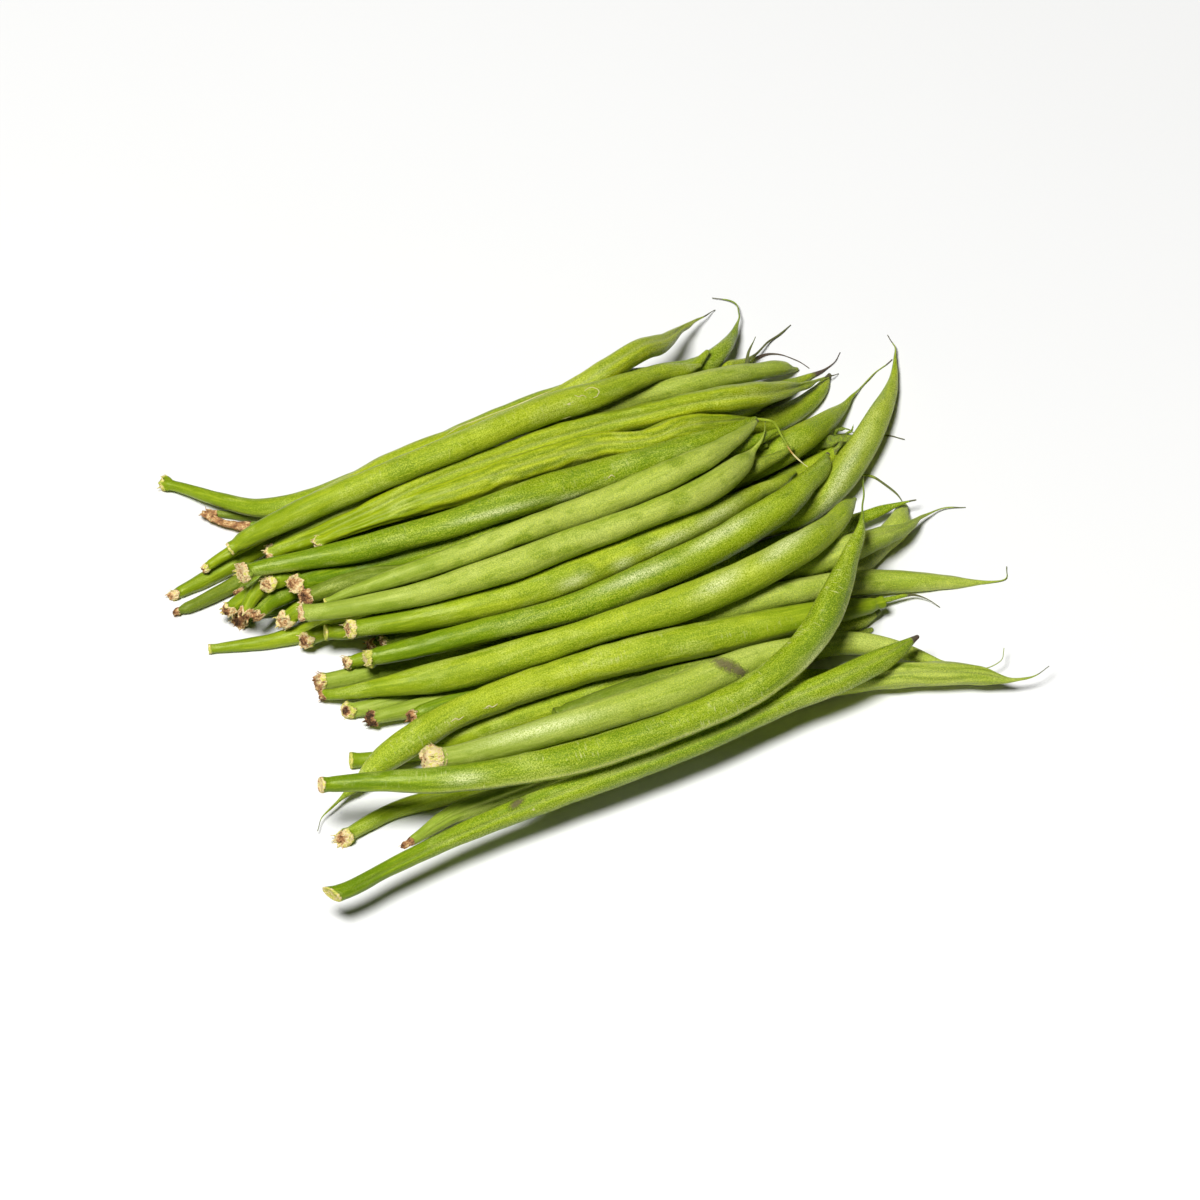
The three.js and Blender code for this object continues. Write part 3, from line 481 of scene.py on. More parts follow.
def pod_swell(look, draw, s, length, seam):
    """How far the skin stands out of a round pod, in metres, and the painted shade between its ribs."""
    angle = from_seam(seam)
    s = s[:, None]
    body = fade(s, 2 * MM, NECK) * fade(s, length - 1 * MM, length - BEAK)
    wide = math.radians(look.groove_wide)
    groove = bell(angle, wide)
    shoulders = bell(np.abs(angle) - 2.1 * wide, 1.2 * wide)
    back_seam = bell(math.pi - np.abs(angle), math.radians(9))
    pace = s + ripples(draw, s, 2, 0) * PITCH_STRAY
    bulge = np.cos(2 * math.pi * pace / SEED_PITCH)
    ribbed = look.ribs * bell(angle, 1.5)
    ridges = np.cos(RIBS_ROUND * angle + 0.9 * ripples(draw, s, 3, 0))
    swell = body * MM * (
        look.seeds * (SEED_FLANK * bulge * np.sin(angle) ** 2 + SEED_ROUND * bulge)
        - look.groove * groove + SHOULDER * look.groove * shoulders
        - BACK_SEAM * back_seam
        + ribbed * ridges
        + OVAL * np.cos(2 * angle)
        + UNEVEN * ripples(draw, s, 5, 3)
    )
    return swell, body * np.minimum(ribbed * 7, 1) * (0.5 - 0.5 * ridges) ** 3


def shrivelled(look, draw, s):
    """The share of its radius that a withered neck keeps."""
    s = s[:, None]
    dry = 1 - fade(s, (look.withered - 2) * MM, (look.withered + 3) * MM) if look.withered > 5 else 0 * s
    creases = 0.5 + 0.5 * ripples(draw, s * 4, 4, 3)
    return 1 - dry * (0.12 + 0.22 * np.clip(creases, 0, 1))


def beak_pinch(s, length, seam):
    """The share of its radius that the skin keeps, where the pod flattens towards its tip."""
    near_tip = fade(s, length - BEAK, length - 2 * MM)[:, None]
    return 1 - BEAK_FLAT * near_tip * np.sin(ANGLES - seam[:, None]) ** 2


def beak_belly(look, s, length):
    """How far the skin of the beak stands out on its fuller side, in metres."""
    along = fade(s, length - 16 * MM, length - 6 * MM) * fade(s, length - 0.5 * MM, length - 5 * MM)
    around = 0.5 + 0.5 * np.cos(ANGLES - math.radians(look.belly_side))
    return look.belly * MM * along[:, None] * around


def blade_share(look, s, length):
    """The share of its radius that a beak keeps where it has shrunk to a blade."""
    if not look.blade:
        return 1
    shrunk = fade(s, length - (look.blade + 4) * MM, length - (look.blade - 4) * MM)
    return 1 - BLADE_SHRUNK * shrunk[:, None]


def tube(rings, sides):
    """The faces between cross-sections, each with its corners in turn."""
    ring = np.arange(rings - 1)[:, None] * sides
    here = np.arange(sides)
    after = (here + 1) % sides
    corners = [ring + here, ring + after, ring + sides + after, ring + sides + here]
    return np.stack(corners, axis=-1).reshape(-1, 4)


class Bean:
    """One bean's skin, with what the finish needs to know at each of its points."""

    def __init__(self, number):
        self.number, self.look = number, LOOKS[number]
        self.draw = np.random.default_rng(SEED + number)
        centres, radii = RINGS[number]
        self.knots, self.centres = lengths_along(centres), centres
        self.knob = radii[1]
        self.pod_knots, self.pod_radii = self.knots[KNOB_RINGS:], radii[KNOB_RINGS:]
        thick = np.nonzero(self.pod_radii > THREAD)[0][-1]
        self.length = self.pod_knots[min(thick + 1, len(self.pod_knots) - 1)]
        self.end = self.knots[-1]
        self.slivers = []
        self.lay_rings()
        self.shape()
        self.tear_flakes()

    def lay_rings(self):
        """Sets out the cross-sections: places along the course, radii, and slips along it."""
        look, draw, length, end = self.look, self.draw, self.length, self.end
        inset, radius, moved, self.crown_dry = crown_rings(look, draw, self.knob, self.pod_radii[0])
        pod = np.linspace(KNOB_END, length, round((length - KNOB_END) / POD_STEP))
        tail = np.linspace(length, end, round((end - length) / TAIL_STEP) + 1)[1:]
        has_tail = end - length > 1 * MM
        course = np.concatenate([pod, tail]) if has_tail else pod
        plain = np.maximum(smooth_through(course, self.pod_knots, self.pod_radii), LEAST_POD)
        beyond = np.clip((course - length) / max(end - length, MM), 0, 1)
        thinner = has_tail * fade(course, length - 1 * MM, length + 4 * MM)
        plain *= (1 - thinner * (1 - look.tail_width)) * (1 - TAIL_TAPER * beyond)
        seam = np.radians(look.seam + look.twist * (course / length - 0.5))
        skin = plain[:, None] * beak_pinch(course, length, seam)
        swell, rib_valley_shade = pod_swell(look, draw, course, length, seam)
        skin += swell + beak_belly(look, course, length)
        skin *= shrivelled(look, draw, course) * blade_share(look, course, length)
        flat = has_tail * fade(course, length - 2 * MM, length + 3 * MM)[:, None]
        turned = ANGLES - seam[:, None] - 0.25 * ripples(draw, course[:, None], 3, 0)
        skin *= 1 + flat * (0.15 - 0.5 * np.cos(turned) ** 2)
        skin *= 1 - has_tail * TAIL_TAPER * fade(course, end - 4 * MM, end)[:, None]
        skin = np.maximum(skin, LEAST_TAIL)
        cap_in, cap_share = np.sin(CAP_TURNS) * plain[-1], np.cos(CAP_TURNS)
        self.s = np.concatenate([inset, course, end + cap_in])
        self.radius = np.concatenate([radius, skin, skin[-1] * cap_share[:, None]])
        around_pod = (len(inset), len(cap_in))
        self.moved = np.pad(moved, ((0, len(self.s) - len(inset)), (0, 0)))
        self.rib_valley_shade = np.pad(rib_valley_shade, (around_pod, (0, 0)))
        self.seam = np.pad(seam, around_pod, mode="edge")
        slant = math.tan(math.radians(look.face)) * (1 - fade(self.s, 0, FACE_REACH))[:, None]
        lean_in = np.cos(ANGLES - math.radians(look.face_side))
        self.moved += slant * (self.radius * lean_in + HINGE * self.knob)

    def shape(self):
        """Puts every corner in its place, inside the box of the solids."""
        centre = smooth_through(self.s, self.knots, self.centres)
        along = unit(smooth_through(self.s + 0.1 * MM, self.knots, self.centres) - centre)
        facing, beside = carried_sides(along, TO_VIEWER)
        stray = fade(self.s, self.length - 2 * MM, self.length + 6 * MM)
        for way, period in ((facing, 1.1 * MM), (beside, 1.7 * MM)):
            shake = np.sin(self.s / period + self.number) * stray * TAIL_SHAKE * MM
            centre = centre + way * shake[:, None]
        out = facing[:, None] * np.cos(ANGLES)[:, None] + beside[:, None] * np.sin(ANGLES)[:, None]
        skin = centre[:, None] + out * self.radius[..., None] + along[:, None] * self.moved[..., None]
        low, high = np.array(CAD_BOX[0]), np.array(CAD_BOX[1])
        push = np.minimum(high - skin.max(axis=(0, 1)), 0)
        push += np.maximum(low - skin.min(axis=(0, 1)), 0) * (1, 1, 0)
        skin, centre = skin + push, centre + push
        skin[..., 2] = np.maximum(skin[..., 2], 0)
        face = centre[0] + along[0] * (self.moved[0].mean() - END_DOME)
        ends = np.array([face, centre[-1] + along[-1] * END_DOME])
        self.points = np.concatenate([skin.reshape(-1, 3), ends])
        self.skin, self.middle_line, self.along, self.out = skin, centre, along, out

    def tear_flakes(self):
        """Torn flakes that stand out from the rim of a stem end."""
        draw, stem = self.draw, self.look.stem
        for corner in draw.choice(SIDES, FLAKES[stem], replace=False):
            row = rim_of(stem) - draw.integers(0, 3)
            outward, back = self.out[row, corner], -self.along[row]
            way = outward * draw.uniform(0.1, 0.6) + back * draw.uniform(0.3, 1)
            way /= np.linalg.norm(way)
            length = draw.uniform(0.5, 1.2) * MM
            t = np.linspace(-0.4, 1, 5)[:, None]
            curl = outward * draw.uniform(-0.5, 0.3) * length
            path = self.skin[row, corner] + way * length * t + curl * t ** 2
            wide = np.array([0.3, 0.27, 0.2, 0.12, 0.04]) * draw.uniform(0.5, 1.3) * MM
            tone = self.look.rim_tone * draw.uniform(0.5, 1.3)
            self.add_sliver(path, wide, np.cross(way, outward), stem_end=(1, tone, 0))

    def add_sliver(self, path, wide, side, thick=THIN, **finish):
        """A small flat closed piece along a path, with one finish all over."""
        corners = np.arange(SLIVER_SIDES) * 2 * math.pi / SLIVER_SIDES
        along = np.gradient(path, axis=0)
        flat = unit(np.cross(along, side))
        side = unit(np.cross(flat, along))
        thin = np.minimum(thick, wide)
        rings = (path[:, None] + side[:, None] * (wide[:, None] * np.cos(corners))[..., None]
                 + flat[:, None] * (thin[:, None] * np.sin(corners))[..., None])
        points = np.clip(rings.reshape(-1, 3), CAD_BOX[0], CAD_BOX[1])
        faces = tube(len(path), SLIVER_SIDES).tolist()
        faces += [range(SLIVER_SIDES - 1, -1, -1), range(len(points) - SLIVER_SIDES, len(points))]
        self.slivers.append((points, faces, {"straight": points / MM, **finish}))

    def on_skin(self, across, up, lift):
        """The point of the skin that stands at a place of the view, a little off it."""
        line_across, line_up, larger = in_view(self.middle_line)
        off_across = across * MM / larger - line_across
        off_up = up * MM / larger - line_up
        ring = int(np.argmin(off_across ** 2 + off_up ** 2))
        off = ACROSS * off_across[ring] + UP_VIEW * off_up[ring]
        facing, beside = self.out[ring, 0], self.out[ring, SIDES // 4]
        radius = self.radius[ring].mean() + lift
        furthest = NEAR_EDGE * radius
        sideways = float(np.clip(off @ beside, -furthest, furthest))
        ahead = self.along[ring] * (off @ self.along[ring])
        standing = math.sqrt(radius ** 2 - sideways ** 2)
        return self.middle_line[ring] + ahead + beside * sideways + facing * standing

    def scratch(self, points, half_width):
        """A thin pale thread that lies on the skin."""
        steps = max(len(points) * 3, 8)
        path = np.array([self.on_skin(u, v, SCRATCH_LIFT) for u, v in smooth_path(points, steps)])
        wide = half_width * MM * (0.3 + 0.7 * np.sin(math.pi * np.linspace(0.06, 0.94, steps)))
        side = np.cross(np.gradient(path, axis=0), TO_VIEWER)
        self.add_sliver(path, wide, side, tip_end=(1, 0, 0), tones=(SCRATCH_TONE, 0, 0))

    def all_points(self):
        return np.concatenate([self.points] + [points for points, _, _ in self.slivers])

    def all_faces(self):
        rings = len(self.s)
        stem, tip, last = rings * SIDES, rings * SIDES + 1, (rings - 1) * SIDES
        pairs = [(k, (k + 1) % SIDES) for k in range(SIDES)]
        faces = tube(rings, SIDES)[:, [0, 3, 2, 1]].tolist()
        faces += [(stem, a, b) for a, b in pairs] + [(tip, last + b, last + a) for a, b in pairs]
        count = len(self.points)
        for points, own, _ in self.slivers:
            faces += [[count + k for k in face] for face in own]
            count += len(points)
        return faces

    def all_values(self, name):
        """The values of the skin, then those of each sliver."""
        return np.concatenate([getattr(self, name)()] + [
            np.broadcast_to(finish.get(name, (0, 0, 0)), points.shape)
            for points, _, finish in self.slivers])

    def with_ends(self, *values):
        """One value for every point: those of the rings, then those of the two end points."""
        each = [np.broadcast_to(value, self.radius.shape) for value in values]
        flat = np.stack(each, axis=-1).reshape(len(self.s) * SIDES, -1)
        return np.concatenate([flat, flat[:1], flat[-1:]])

    def straight(self):
        """Where each point would be if the bean were laid out straight, in millimetres."""
        turned = ANGLES - self.seam[:, None]
        run = self.s[:, None] + self.moved
        laid_out = self.with_ends(self.radius * np.cos(turned), self.radius * np.sin(turned), run)
        return laid_out / MM + self.number * PATTERN_SHIFT

    def stem_end(self):
        """How dry the skin is at the stem end, of what tone, and how smooth and deep the neck is."""
        s = self.s[:, None]
        reach = DRY_REACH[self.look.stem] + self.look.withered
        dry = np.repeat(1 - fade(s, (reach - 0.7) * MM, (reach + 1) * MM), SIDES, axis=1)
        dry[:len(self.crown_dry)] *= self.crown_dry
        dry *= self.look.rim_tone >= 0
        inner = fade(self.radius / self.knob, 0.85, 0.35) * (s < 2 * MM)
        collar = fade(s, 0.9 * MM, 1.7 * MM) * (self.look.withered == 0)
        tone = self.look.rim_tone * (1 - 0.75 * collar) * (1 - inner) + self.look.face_tone * inner
        return self.with_ends(dry, tone, fade(s, 60 * MM, 6 * MM))

    def tip_end(self):
        """How dry the tail or beak is, how olive, and the bean's own tint."""
        s = self.s[:, None]
        dark = max(self.look.dark_tip, 0.01) * MM
        dry = fade(s, self.end - dark, self.end - 0.4 * dark) * (self.look.dark_tip > 0)
        olive = OLIVE * fade(s, self.length - 4 * MM, self.length + 4 * MM)
        return self.with_ends(dry, olive, self.look.tint)

    def tones(self):
        """The tone of the dried tail, and how many spots and streaks the skin has."""
        paler = 0.3 if self.look.tail_tone > 0.7 else 0
        dark = max(self.look.dark_tip, 0.01) * MM
        tone = self.look.tail_tone + paler * fade(self.s[:, None], self.end - 0.6 * dark, self.end)
        return self.with_ends(tone, self.look.spots, self.look.streaks)

    def marks_and_painted_highlight(self):
        """How strong each kind of single mark is: bruises, scars, crusts, and pale patches of painted
        highlight.
        """
        found = np.zeros((len(self.points), len(MARKS_AND_PAINTED_HIGHLIGHTS)))
        side = self.with_ends(self.out @ TO_VIEWER)[:, 0]
        across, up, larger = in_view(self.points)
        across, up = across * larger / MM, up * larger / MM
        for column, marks in enumerate(MARKS_AND_PAINTED_HIGHLIGHTS.values()):
            for number, u, v, long, wide, rise in marks:
                if number != self.number:
                    continue
                c, s = math.cos(math.radians(rise)), math.sin(math.radians(rise))
                right, over = across - u, up - v
                far = ((right * c + over * s) / long) ** 2 + ((over * c - right * s) / wide) ** 2
                found[:, column] = np.maximum(found[:, column], np.exp(-far) * (side > FACES_VIEWER))
        return found

    def marks(self):
        return self.marks_and_painted_highlight()[:, :3]

    # The painted highlight: pale patches where the sheen of the lamp falls.
    def painted_highlight(self):
        return self.marks_and_painted_highlight()[:, 3:] * (1, 0, 0)

    def seam_line_and_groove_shade(self):
        """The seam's pale line, painted shade in its groove and between the ribs, and the dark edges at
        the beak.
        """
        off = from_seam(self.seam)
        body = fade(self.s, 3 * MM, 9 * MM)[:, None]
        line = bell(off, math.radians(8)) * body * self.look.pale_seam
        # painted shade in the seam's groove
        groove_shade = bell(off, math.radians(0.7 * self.look.groove_wide)) * body
        groove_shade = groove_shade * min(max(self.look.groove, 0) * 2, 1)
        near_tip = fade(self.s, self.length - 26 * MM, self.length - 6 * MM)[:, None]
        near_tip = near_tip * self.look.dark_seam
        edges = bell(np.minimum(np.abs(off), math.pi - np.abs(off)), math.radians(8)) * near_tip
        return self.with_ends(line * (1 - near_tip), np.maximum(groove_shade, self.rib_valley_shade), edges)


# What is left of the flowers at some tips, leaf by leaf: which bean, the path from its tip (across and
# up in the view and towards the viewer, in millimetres), the half width, and the tone.
FLOWER_LEAVES = [
    (39, [(-8.8, -3.6, 5.6), (-5.8, -1.8, 5.6), (-2.8, -0.4, 5.2), (0, 0.4, 4.6), (3, 0.6, 3.8),
          (5.4, 0.9, 3)], 1.9, 0.2),
    (39, [(1, -0.4, 5.2), (-0.4, -2, 5.8), (-1.8, -3.4, 6), (-2.2, -5.4, 6), (-1.8, -7.4, 5.6)], 0.9, 0.5),
    (39, [(0.2, -1, 4.8), (0.8, -2.8, 4.6), (2, -4, 4.4), (3.6, -3.4, 4.2)], 0.5, 0.1),
    (39, [(-1.6, 1.2, 1.8), (-0.4, 2.5, 2), (1.4, 2.8, 2), (3.4, 2.2, 1.8)], 0.55, 0.05),
    (39, [(3, 2, 1.8), (3.3, 2.9, 1.8), (3.5, 3.9, 1.8)], 0.25, 0.05),
    (39, [(-1.4, 1.4, 2.2), (0.8, 1.2, 2.4), (2.8, 2, 2.2), (4, 1.6, 1.8)], 0.4, 0.05),
    (11, [(0.4, -1, 1), (0.3, -3, 1.4), (0.1, -4.8, 1.2), (-0.6, -6, 0.8)], 0.3, 0.7),
    (12, [(-2.4, -0.8, 0.6), (-3.2, -2, 1), (-3, -3.2, 1.2), (-3.8, -4.2, 0.8)], 0.35, 0.7),
]
LEAF_RINGS = 14
LEAF_THICK = 0.16 * MM       # half of it
LEAF_FINISH = (0.3, 0.25, -0.3)   # as for a tip: how dry, how olive, and the tint


def grow_flower_leaves(bean):
    for number, steps, half_width, tone in FLOWER_LEAVES:
        if number != bean.number:
            continue
        path = smooth_path(steps, LEAF_RINGS) * MM
        path = bean.points[-1] + path @ np.array([ACROSS, UP_VIEW, TO_VIEWER])
        t = np.linspace(0, 1, LEAF_RINGS)
        wide = half_width * MM * (0.35 + 0.65 * np.sin(math.pi * t ** 0.8)) * (1 - 0.75 * t ** 3)
        wide *= 1 + 0.25 * np.sin(t * 19 + half_width * 7)
        turning = TO_VIEWER + 0.8 * np.sin(t * 7 + half_width * 5)[:, None] * UP_VIEW
        side = np.cross(np.gradient(path, axis=0), turning)
        bean.add_sliver(path, wide, side, LEAF_THICK, tip_end=LEAF_FINISH, tones=(tone, 0, 0))


# ---------------- finishes

FLOAT, COLOUR, VECTOR = "NodeSocketFloat", "NodeSocketColor", "NodeSocketVector"


class Nodes:
    """A node tree, and the steps that the finishes are built from. Places are in millimetres."""

    def __init__(self, tree):
        self.tree = tree

    def give(self, socket, value):
        if isinstance(value, bpy.types.NodeSocket):
            self.tree.links.new(value, socket)
        else:
            socket.default_value = value

    def add(self, kind, inputs=(), **settings):
        made = self.tree.nodes.new(kind)
        for key, value in settings.items():
            setattr(made, key, value)
        for key, value in dict(inputs).items():
            self.give(made.inputs[key], value)
        return made

    def math(self, operation, first, second):
        return self.add("ShaderNodeMath", {0: first, 1: second}, operation=operation).outputs[0]

    def times(self, first, second):
        return self.math("MULTIPLY", first, second)

    def plus(self, first, second):
        return self.math("ADD", first, second)

    def larger(self, first, second):
        return self.math("MAXIMUM", first, second)

    def around(self, value, middle, strength):
        """How far a value is from its middle, made stronger or weaker."""
        return self.times(self.math("SUBTRACT", value, middle), strength)

    def ramp(self, value, start, end, first=0.0, last=1.0):
        """First where the value is at start, last where it is at end, and smooth between."""
        return self.add("ShaderNodeMapRange", {
            "Value": value, "From Min": start, "From Max": end, "To Min": first, "To Max": last,
        }, interpolation_type="SMOOTHSTEP").outputs[0]

    def noise(self, place, across, along, detail, roughness=0.5, distortion=0.0):
        """Noise on the straightened bean, with its own scale across and along, per millimetre."""
        scaled = self.add("ShaderNodeVectorMath", {0: place, 1: (across, across, along)},
                          operation="MULTIPLY")
        return self.add("ShaderNodeTexNoise", {
            "Vector": scaled.outputs[0], "Scale": 1.0, "Detail": detail, "Roughness": roughness,
            "Distortion": distortion,
        }).outputs["Fac"]

    def blend(self, share, first, second):
        mixed = self.add("ShaderNodeMix", {"Factor": share, 6: first, 7: second}, data_type="RGBA")
        return mixed.outputs[2]

    def scale(self, value, stops):
        """A colour looked up by a value."""
        made = self.add("ShaderNodeValToRGB", {"Fac": value})
        elements = made.color_ramp.elements
        while len(elements) < len(stops):
            elements.new(0.5)
        for element, (position, colour) in zip(elements, stops):
            element.position = position
            element.color = (*colour, 1)
        return made.outputs["Color"]

    def field(self, name):
        """The vector that the mesh holds under a name."""
        return self.add("ShaderNodeAttribute", attribute_name=name).outputs["Vector"]

    def parts(self, name):
        return self.add("ShaderNodeSeparateXYZ", {0: self.field(name)}).outputs

    def group(self, name, **inputs):
        return self.add("ShaderNodeGroup", inputs, node_tree=GROUPS[name]).outputs


def velvet(nodes, place, given):
    """Fine down on the skin: tiny light and dark points, soft waves, and fibres along the pod."""
    grain = nodes.add("ShaderNodeTexNoise", {
        "Vector": place, "Scale": given["Fineness"], "Detail": 3.0, "Roughness": 0.7})
    return {
        "Grain": grain.outputs["Fac"],
        "Soft": nodes.noise(place, 0.9, 0.35, 2.0),
        "Fibre": nodes.noise(place, 1.5, 0.07, 3.0, 0.6),
    }


def mottle(nodes, place, given):
    """Long clouds of lighter and deeper green, drawn out along the pod."""
    broad = nodes.noise(place, 0.16, 0.03, 2.0, 0.5, 0.4)
    small = nodes.noise(place, 0.5, 0.13, 3.0, 0.6)
    cloud = nodes.ramp(nodes.plus(nodes.times(broad, 0.65), nodes.times(small, 0.35)), 0.36, 0.64)
    patches = nodes.noise(place, 0.2, 0.07, 2.0, 0.55, 0.6)
    return {
        "Color": nodes.blend(cloud, given["Deep"], given["Light"]),
        "Cloud": cloud,
        "Bloom": nodes.ramp(patches, 0.52, 0.68),
    }


def flecks(nodes, place, _):
    """Short pale streaks across the pod, and small darker points."""
    streaks = nodes.noise(place, 0.45, 2.1, 2.0)
    patches = nodes.noise(place, 0.22, 0.09, 1.0)
    points = nodes.add("ShaderNodeTexVoronoi", {"Vector": place, "Scale": 0.45, "Randomness": 1.0})
    return {
        "Pale": nodes.times(nodes.ramp(streaks, 0.56, 0.72), nodes.ramp(patches, 0.48, 0.62)),
        "Dark": nodes.times(nodes.ramp(points.outputs["Distance"], 0.16, 0.04),
                            nodes.ramp(patches, 0.5, 0.4)),
    }


def spots(nodes, place, given):
    """Soft round spots where the green is deeper, more of them where Amount is higher."""
    broad = nodes.noise(place, 0.34, 0.2, 1.5, 0.45)
    return {"Mask": nodes.ramp(nodes.plus(broad, nodes.around(given["Amount"], 0.5, 0.12)), 0.6, 0.74)}


def broken_edge(nodes, place, given):
    """Breaks up a soft mark into flecks with a ragged edge."""
    amount = given["Amount"]
    more = nodes.plus(nodes.around(amount, 1.0, 0.25), given["Fullness"])
    ragged = nodes.plus(nodes.noise(place, 1.5, 0.8, 4.0, 0.7), more)
    return {"Mask": nodes.times(nodes.ramp(ragged, 0.47, 0.56), nodes.ramp(amount, 0.02, 0.3))}


# By tone: olive, grey brown, purple brown, orange and cream.
TAIL_COLOURS = [
    (0.0, (0.17, 0.22, 0.05)), (0.3, (0.12, 0.12, 0.05)), (0.6, (0.10, 0.065, 0.06)),
    (0.8, (0.50, 0.27, 0.03)), (1.0, (0.76, 0.70, 0.34)),
]
# Pale yellow green, straw, beige, tan and three browns, the last nearly black.
STEM_COLOURS = [
    (0.0, (0.56, 0.60, 0.10)), (0.14, (0.76, 0.64, 0.15)), (0.26, (0.86, 0.74, 0.42)),
    (0.38, (0.76, 0.52, 0.24)), (0.54, (0.46, 0.22, 0.09)), (0.76, (0.16, 0.07, 0.035)),
    (1.0, (0.03, 0.015, 0.010)),
]


def dried_tail(nodes, place, given):
    """A dried tail, with the ragged mask that it shows by."""
    amount = given["Amount"]
    shift = nodes.around(nodes.noise(place, 1.2, 0.5, 3.0, 0.6), 0.5, 0.5)
    return {
        "Color": nodes.scale(nodes.plus(given["Tone"], shift), TAIL_COLOURS),
        "Mask": nodes.times(nodes.ramp(nodes.plus(amount, shift), 0.15, 0.5),
                            nodes.ramp(amount, 0, 0.15)),
    }


def withered(nodes, place, given):
    """Dry tissue of a stem end, with its fibres and the ragged mask that it shows by."""
    amount = given["Amount"]
    fibre = nodes.noise(place, 2.2, 0.7, 4.0, 0.7)
    shift = nodes.around(nodes.noise(place, 0.9, 0.9, 3.0, 0.6), 0.5, 1.1)
    tone = nodes.plus(nodes.plus(given["Tone"], shift), nodes.around(fibre, 0.5, 1))
    return {
        "Color": nodes.scale(tone, STEM_COLOURS),
        "Mask": nodes.times(nodes.ramp(nodes.plus(amount, nodes.times(shift, 0.8)), 0.35, 0.6),
                            nodes.ramp(amount, 0, 0.2)),
        "Fibre": fibre,
    }


def make_group(build, defaults):
    """A node group that takes Place and the inputs named, which are colours where None is given."""
    tree = bpy.data.node_groups.new(build.__name__, "ShaderNodeTree")
    tree.interface.new_socket("Place", in_out="INPUT", socket_type=VECTOR)
    for label, default in defaults.items():
        kind = COLOUR if default is None else FLOAT
        socket = tree.interface.new_socket(label, in_out="INPUT", socket_type=kind)
        if default is not None:
            socket.default_value = default
    given = tree.nodes.new("NodeGroupInput").outputs
    made = build(Nodes(tree), given["Place"], given)
    for label in made:
        kind = COLOUR if label == "Color" else FLOAT
        tree.interface.new_socket(label, in_out="OUTPUT", socket_type=kind)
    out = tree.nodes.new("NodeGroupOutput")
    for label, value in made.items():
        tree.links.new(value, out.inputs[label])
    return tree


GROUPS = {build.__name__: make_group(build, defaults) for build, defaults in (
    (velvet, {"Fineness": 3.8}),
    (mottle, {"Light": None, "Deep": None}),
    (flecks, {}),
    (spots, {"Amount": 0.5}),
    (broken_edge, {"Amount": 0.0, "Fullness": 0.0}),
    (withered, {"Amount": 0.0, "Tone": 0.5}),
    (dried_tail, {"Amount": 0.0, "Tone": 0.4}),
)}

# Light green, deep green, and roughness of each kind of skin.
SKINS = {
    "fresh": ((0.43, 0.52, 0.022), (0.21, 0.32, 0.004), 0.37),
    "deep": ((0.31, 0.42, 0.009), (0.13, 0.24, 0.002), 0.33),
    "pale": ((0.46, 0.54, 0.100), (0.28, 0.39, 0.028), 0.44),
    "bright": ((0.50, 0.57, 0.012), (0.26, 0.37, 0.003), 0.36),
    "dull": ((0.25, 0.32, 0.030), (0.13, 0.20, 0.008), 0.48),
}
SEAM_GREEN = (0.70, 0.72, 0.26, 1)
EDGE_DARK = (0.07, 0.08, 0.012, 1)
# painted shade, laid in the seam's groove and between the ribs
GROOVE_SHADE_GREEN = (0.09, 0.17, 0.001, 1)
DOWN_GREEN = (0.63, 0.68, 0.07, 1)
BLOOM_PALE = (0.62, 0.69, 0.18, 1)
# a pale colour painted where the sheen of the lamp falls: painted highlight
PAINTED_HIGHLIGHT_PALE = (0.80, 0.84, 0.42, 1)
FLECK_PALE = (0.66, 0.68, 0.26, 1)
DARK_POINT = (0.10, 0.19, 0.008, 1)
SPOT_GREEN = (0.15, 0.25, 0.002, 1)
OLIVE_GREEN = (0.22, 0.30, 0.03, 1)
SCAR_BROWN = (0.13, 0.085, 0.065, 1)
CRUST_PALE = (0.72, 0.68, 0.34, 1)
DEEPEST = 0.75               # the deepest green of a skin, as a share of its deep green

# The most that a layer covers of what lies under it.
# In the first row, the third is for the painted shade in grooves and between ribs.
SPOT, BRUISE, GROOVE_SHADE_COVER, SEAM, NECK_DEEP = 0.6, 0.75, 0.9, 0.85, 0.72
# In the next row, the last is for the painted highlight.
FIBRES, DOWN_LIGHT, DOWN_DARK, BLOOM, PAINTED_HIGHLIGHT_COVER = 0.45, 0.6, 0.65, 0.35, 0.85
FLECK, POINT, EDGE, SCAR = 0.6, 0.5, 0.75, 0.8
NECK_GRAIN = 0.2             # share of the grain that is left on the smooth neck
SCAR_FULLNESS = 0.22

# What the roughness of a skin gains or loses, and how rough dry tissue is.
GRAIN_GLOSS, GRAIN_DULL, CLOUD_GLOSS, NECK_DULL, DRY_ROUGH = 0.04, 0.1, 0.12, 0.09, 0.85
# How high the down, its soft waves, the pale streaks and the dry fibres stand.
DOWN_HIGH, WAVES_HIGH, STREAKS_HIGH, FIBRES_HIGH = 0.21 * MM, 0.2 * MM, 0.04 * MM, 0.5 * MM


# What each mesh holds at its points for the finishes, beside "straight"; each is a method of Bean.
FIELDS = ("stem_end", "tip_end", "tones", "seam_line_and_groove_shade", "marks", "painted_highlight")


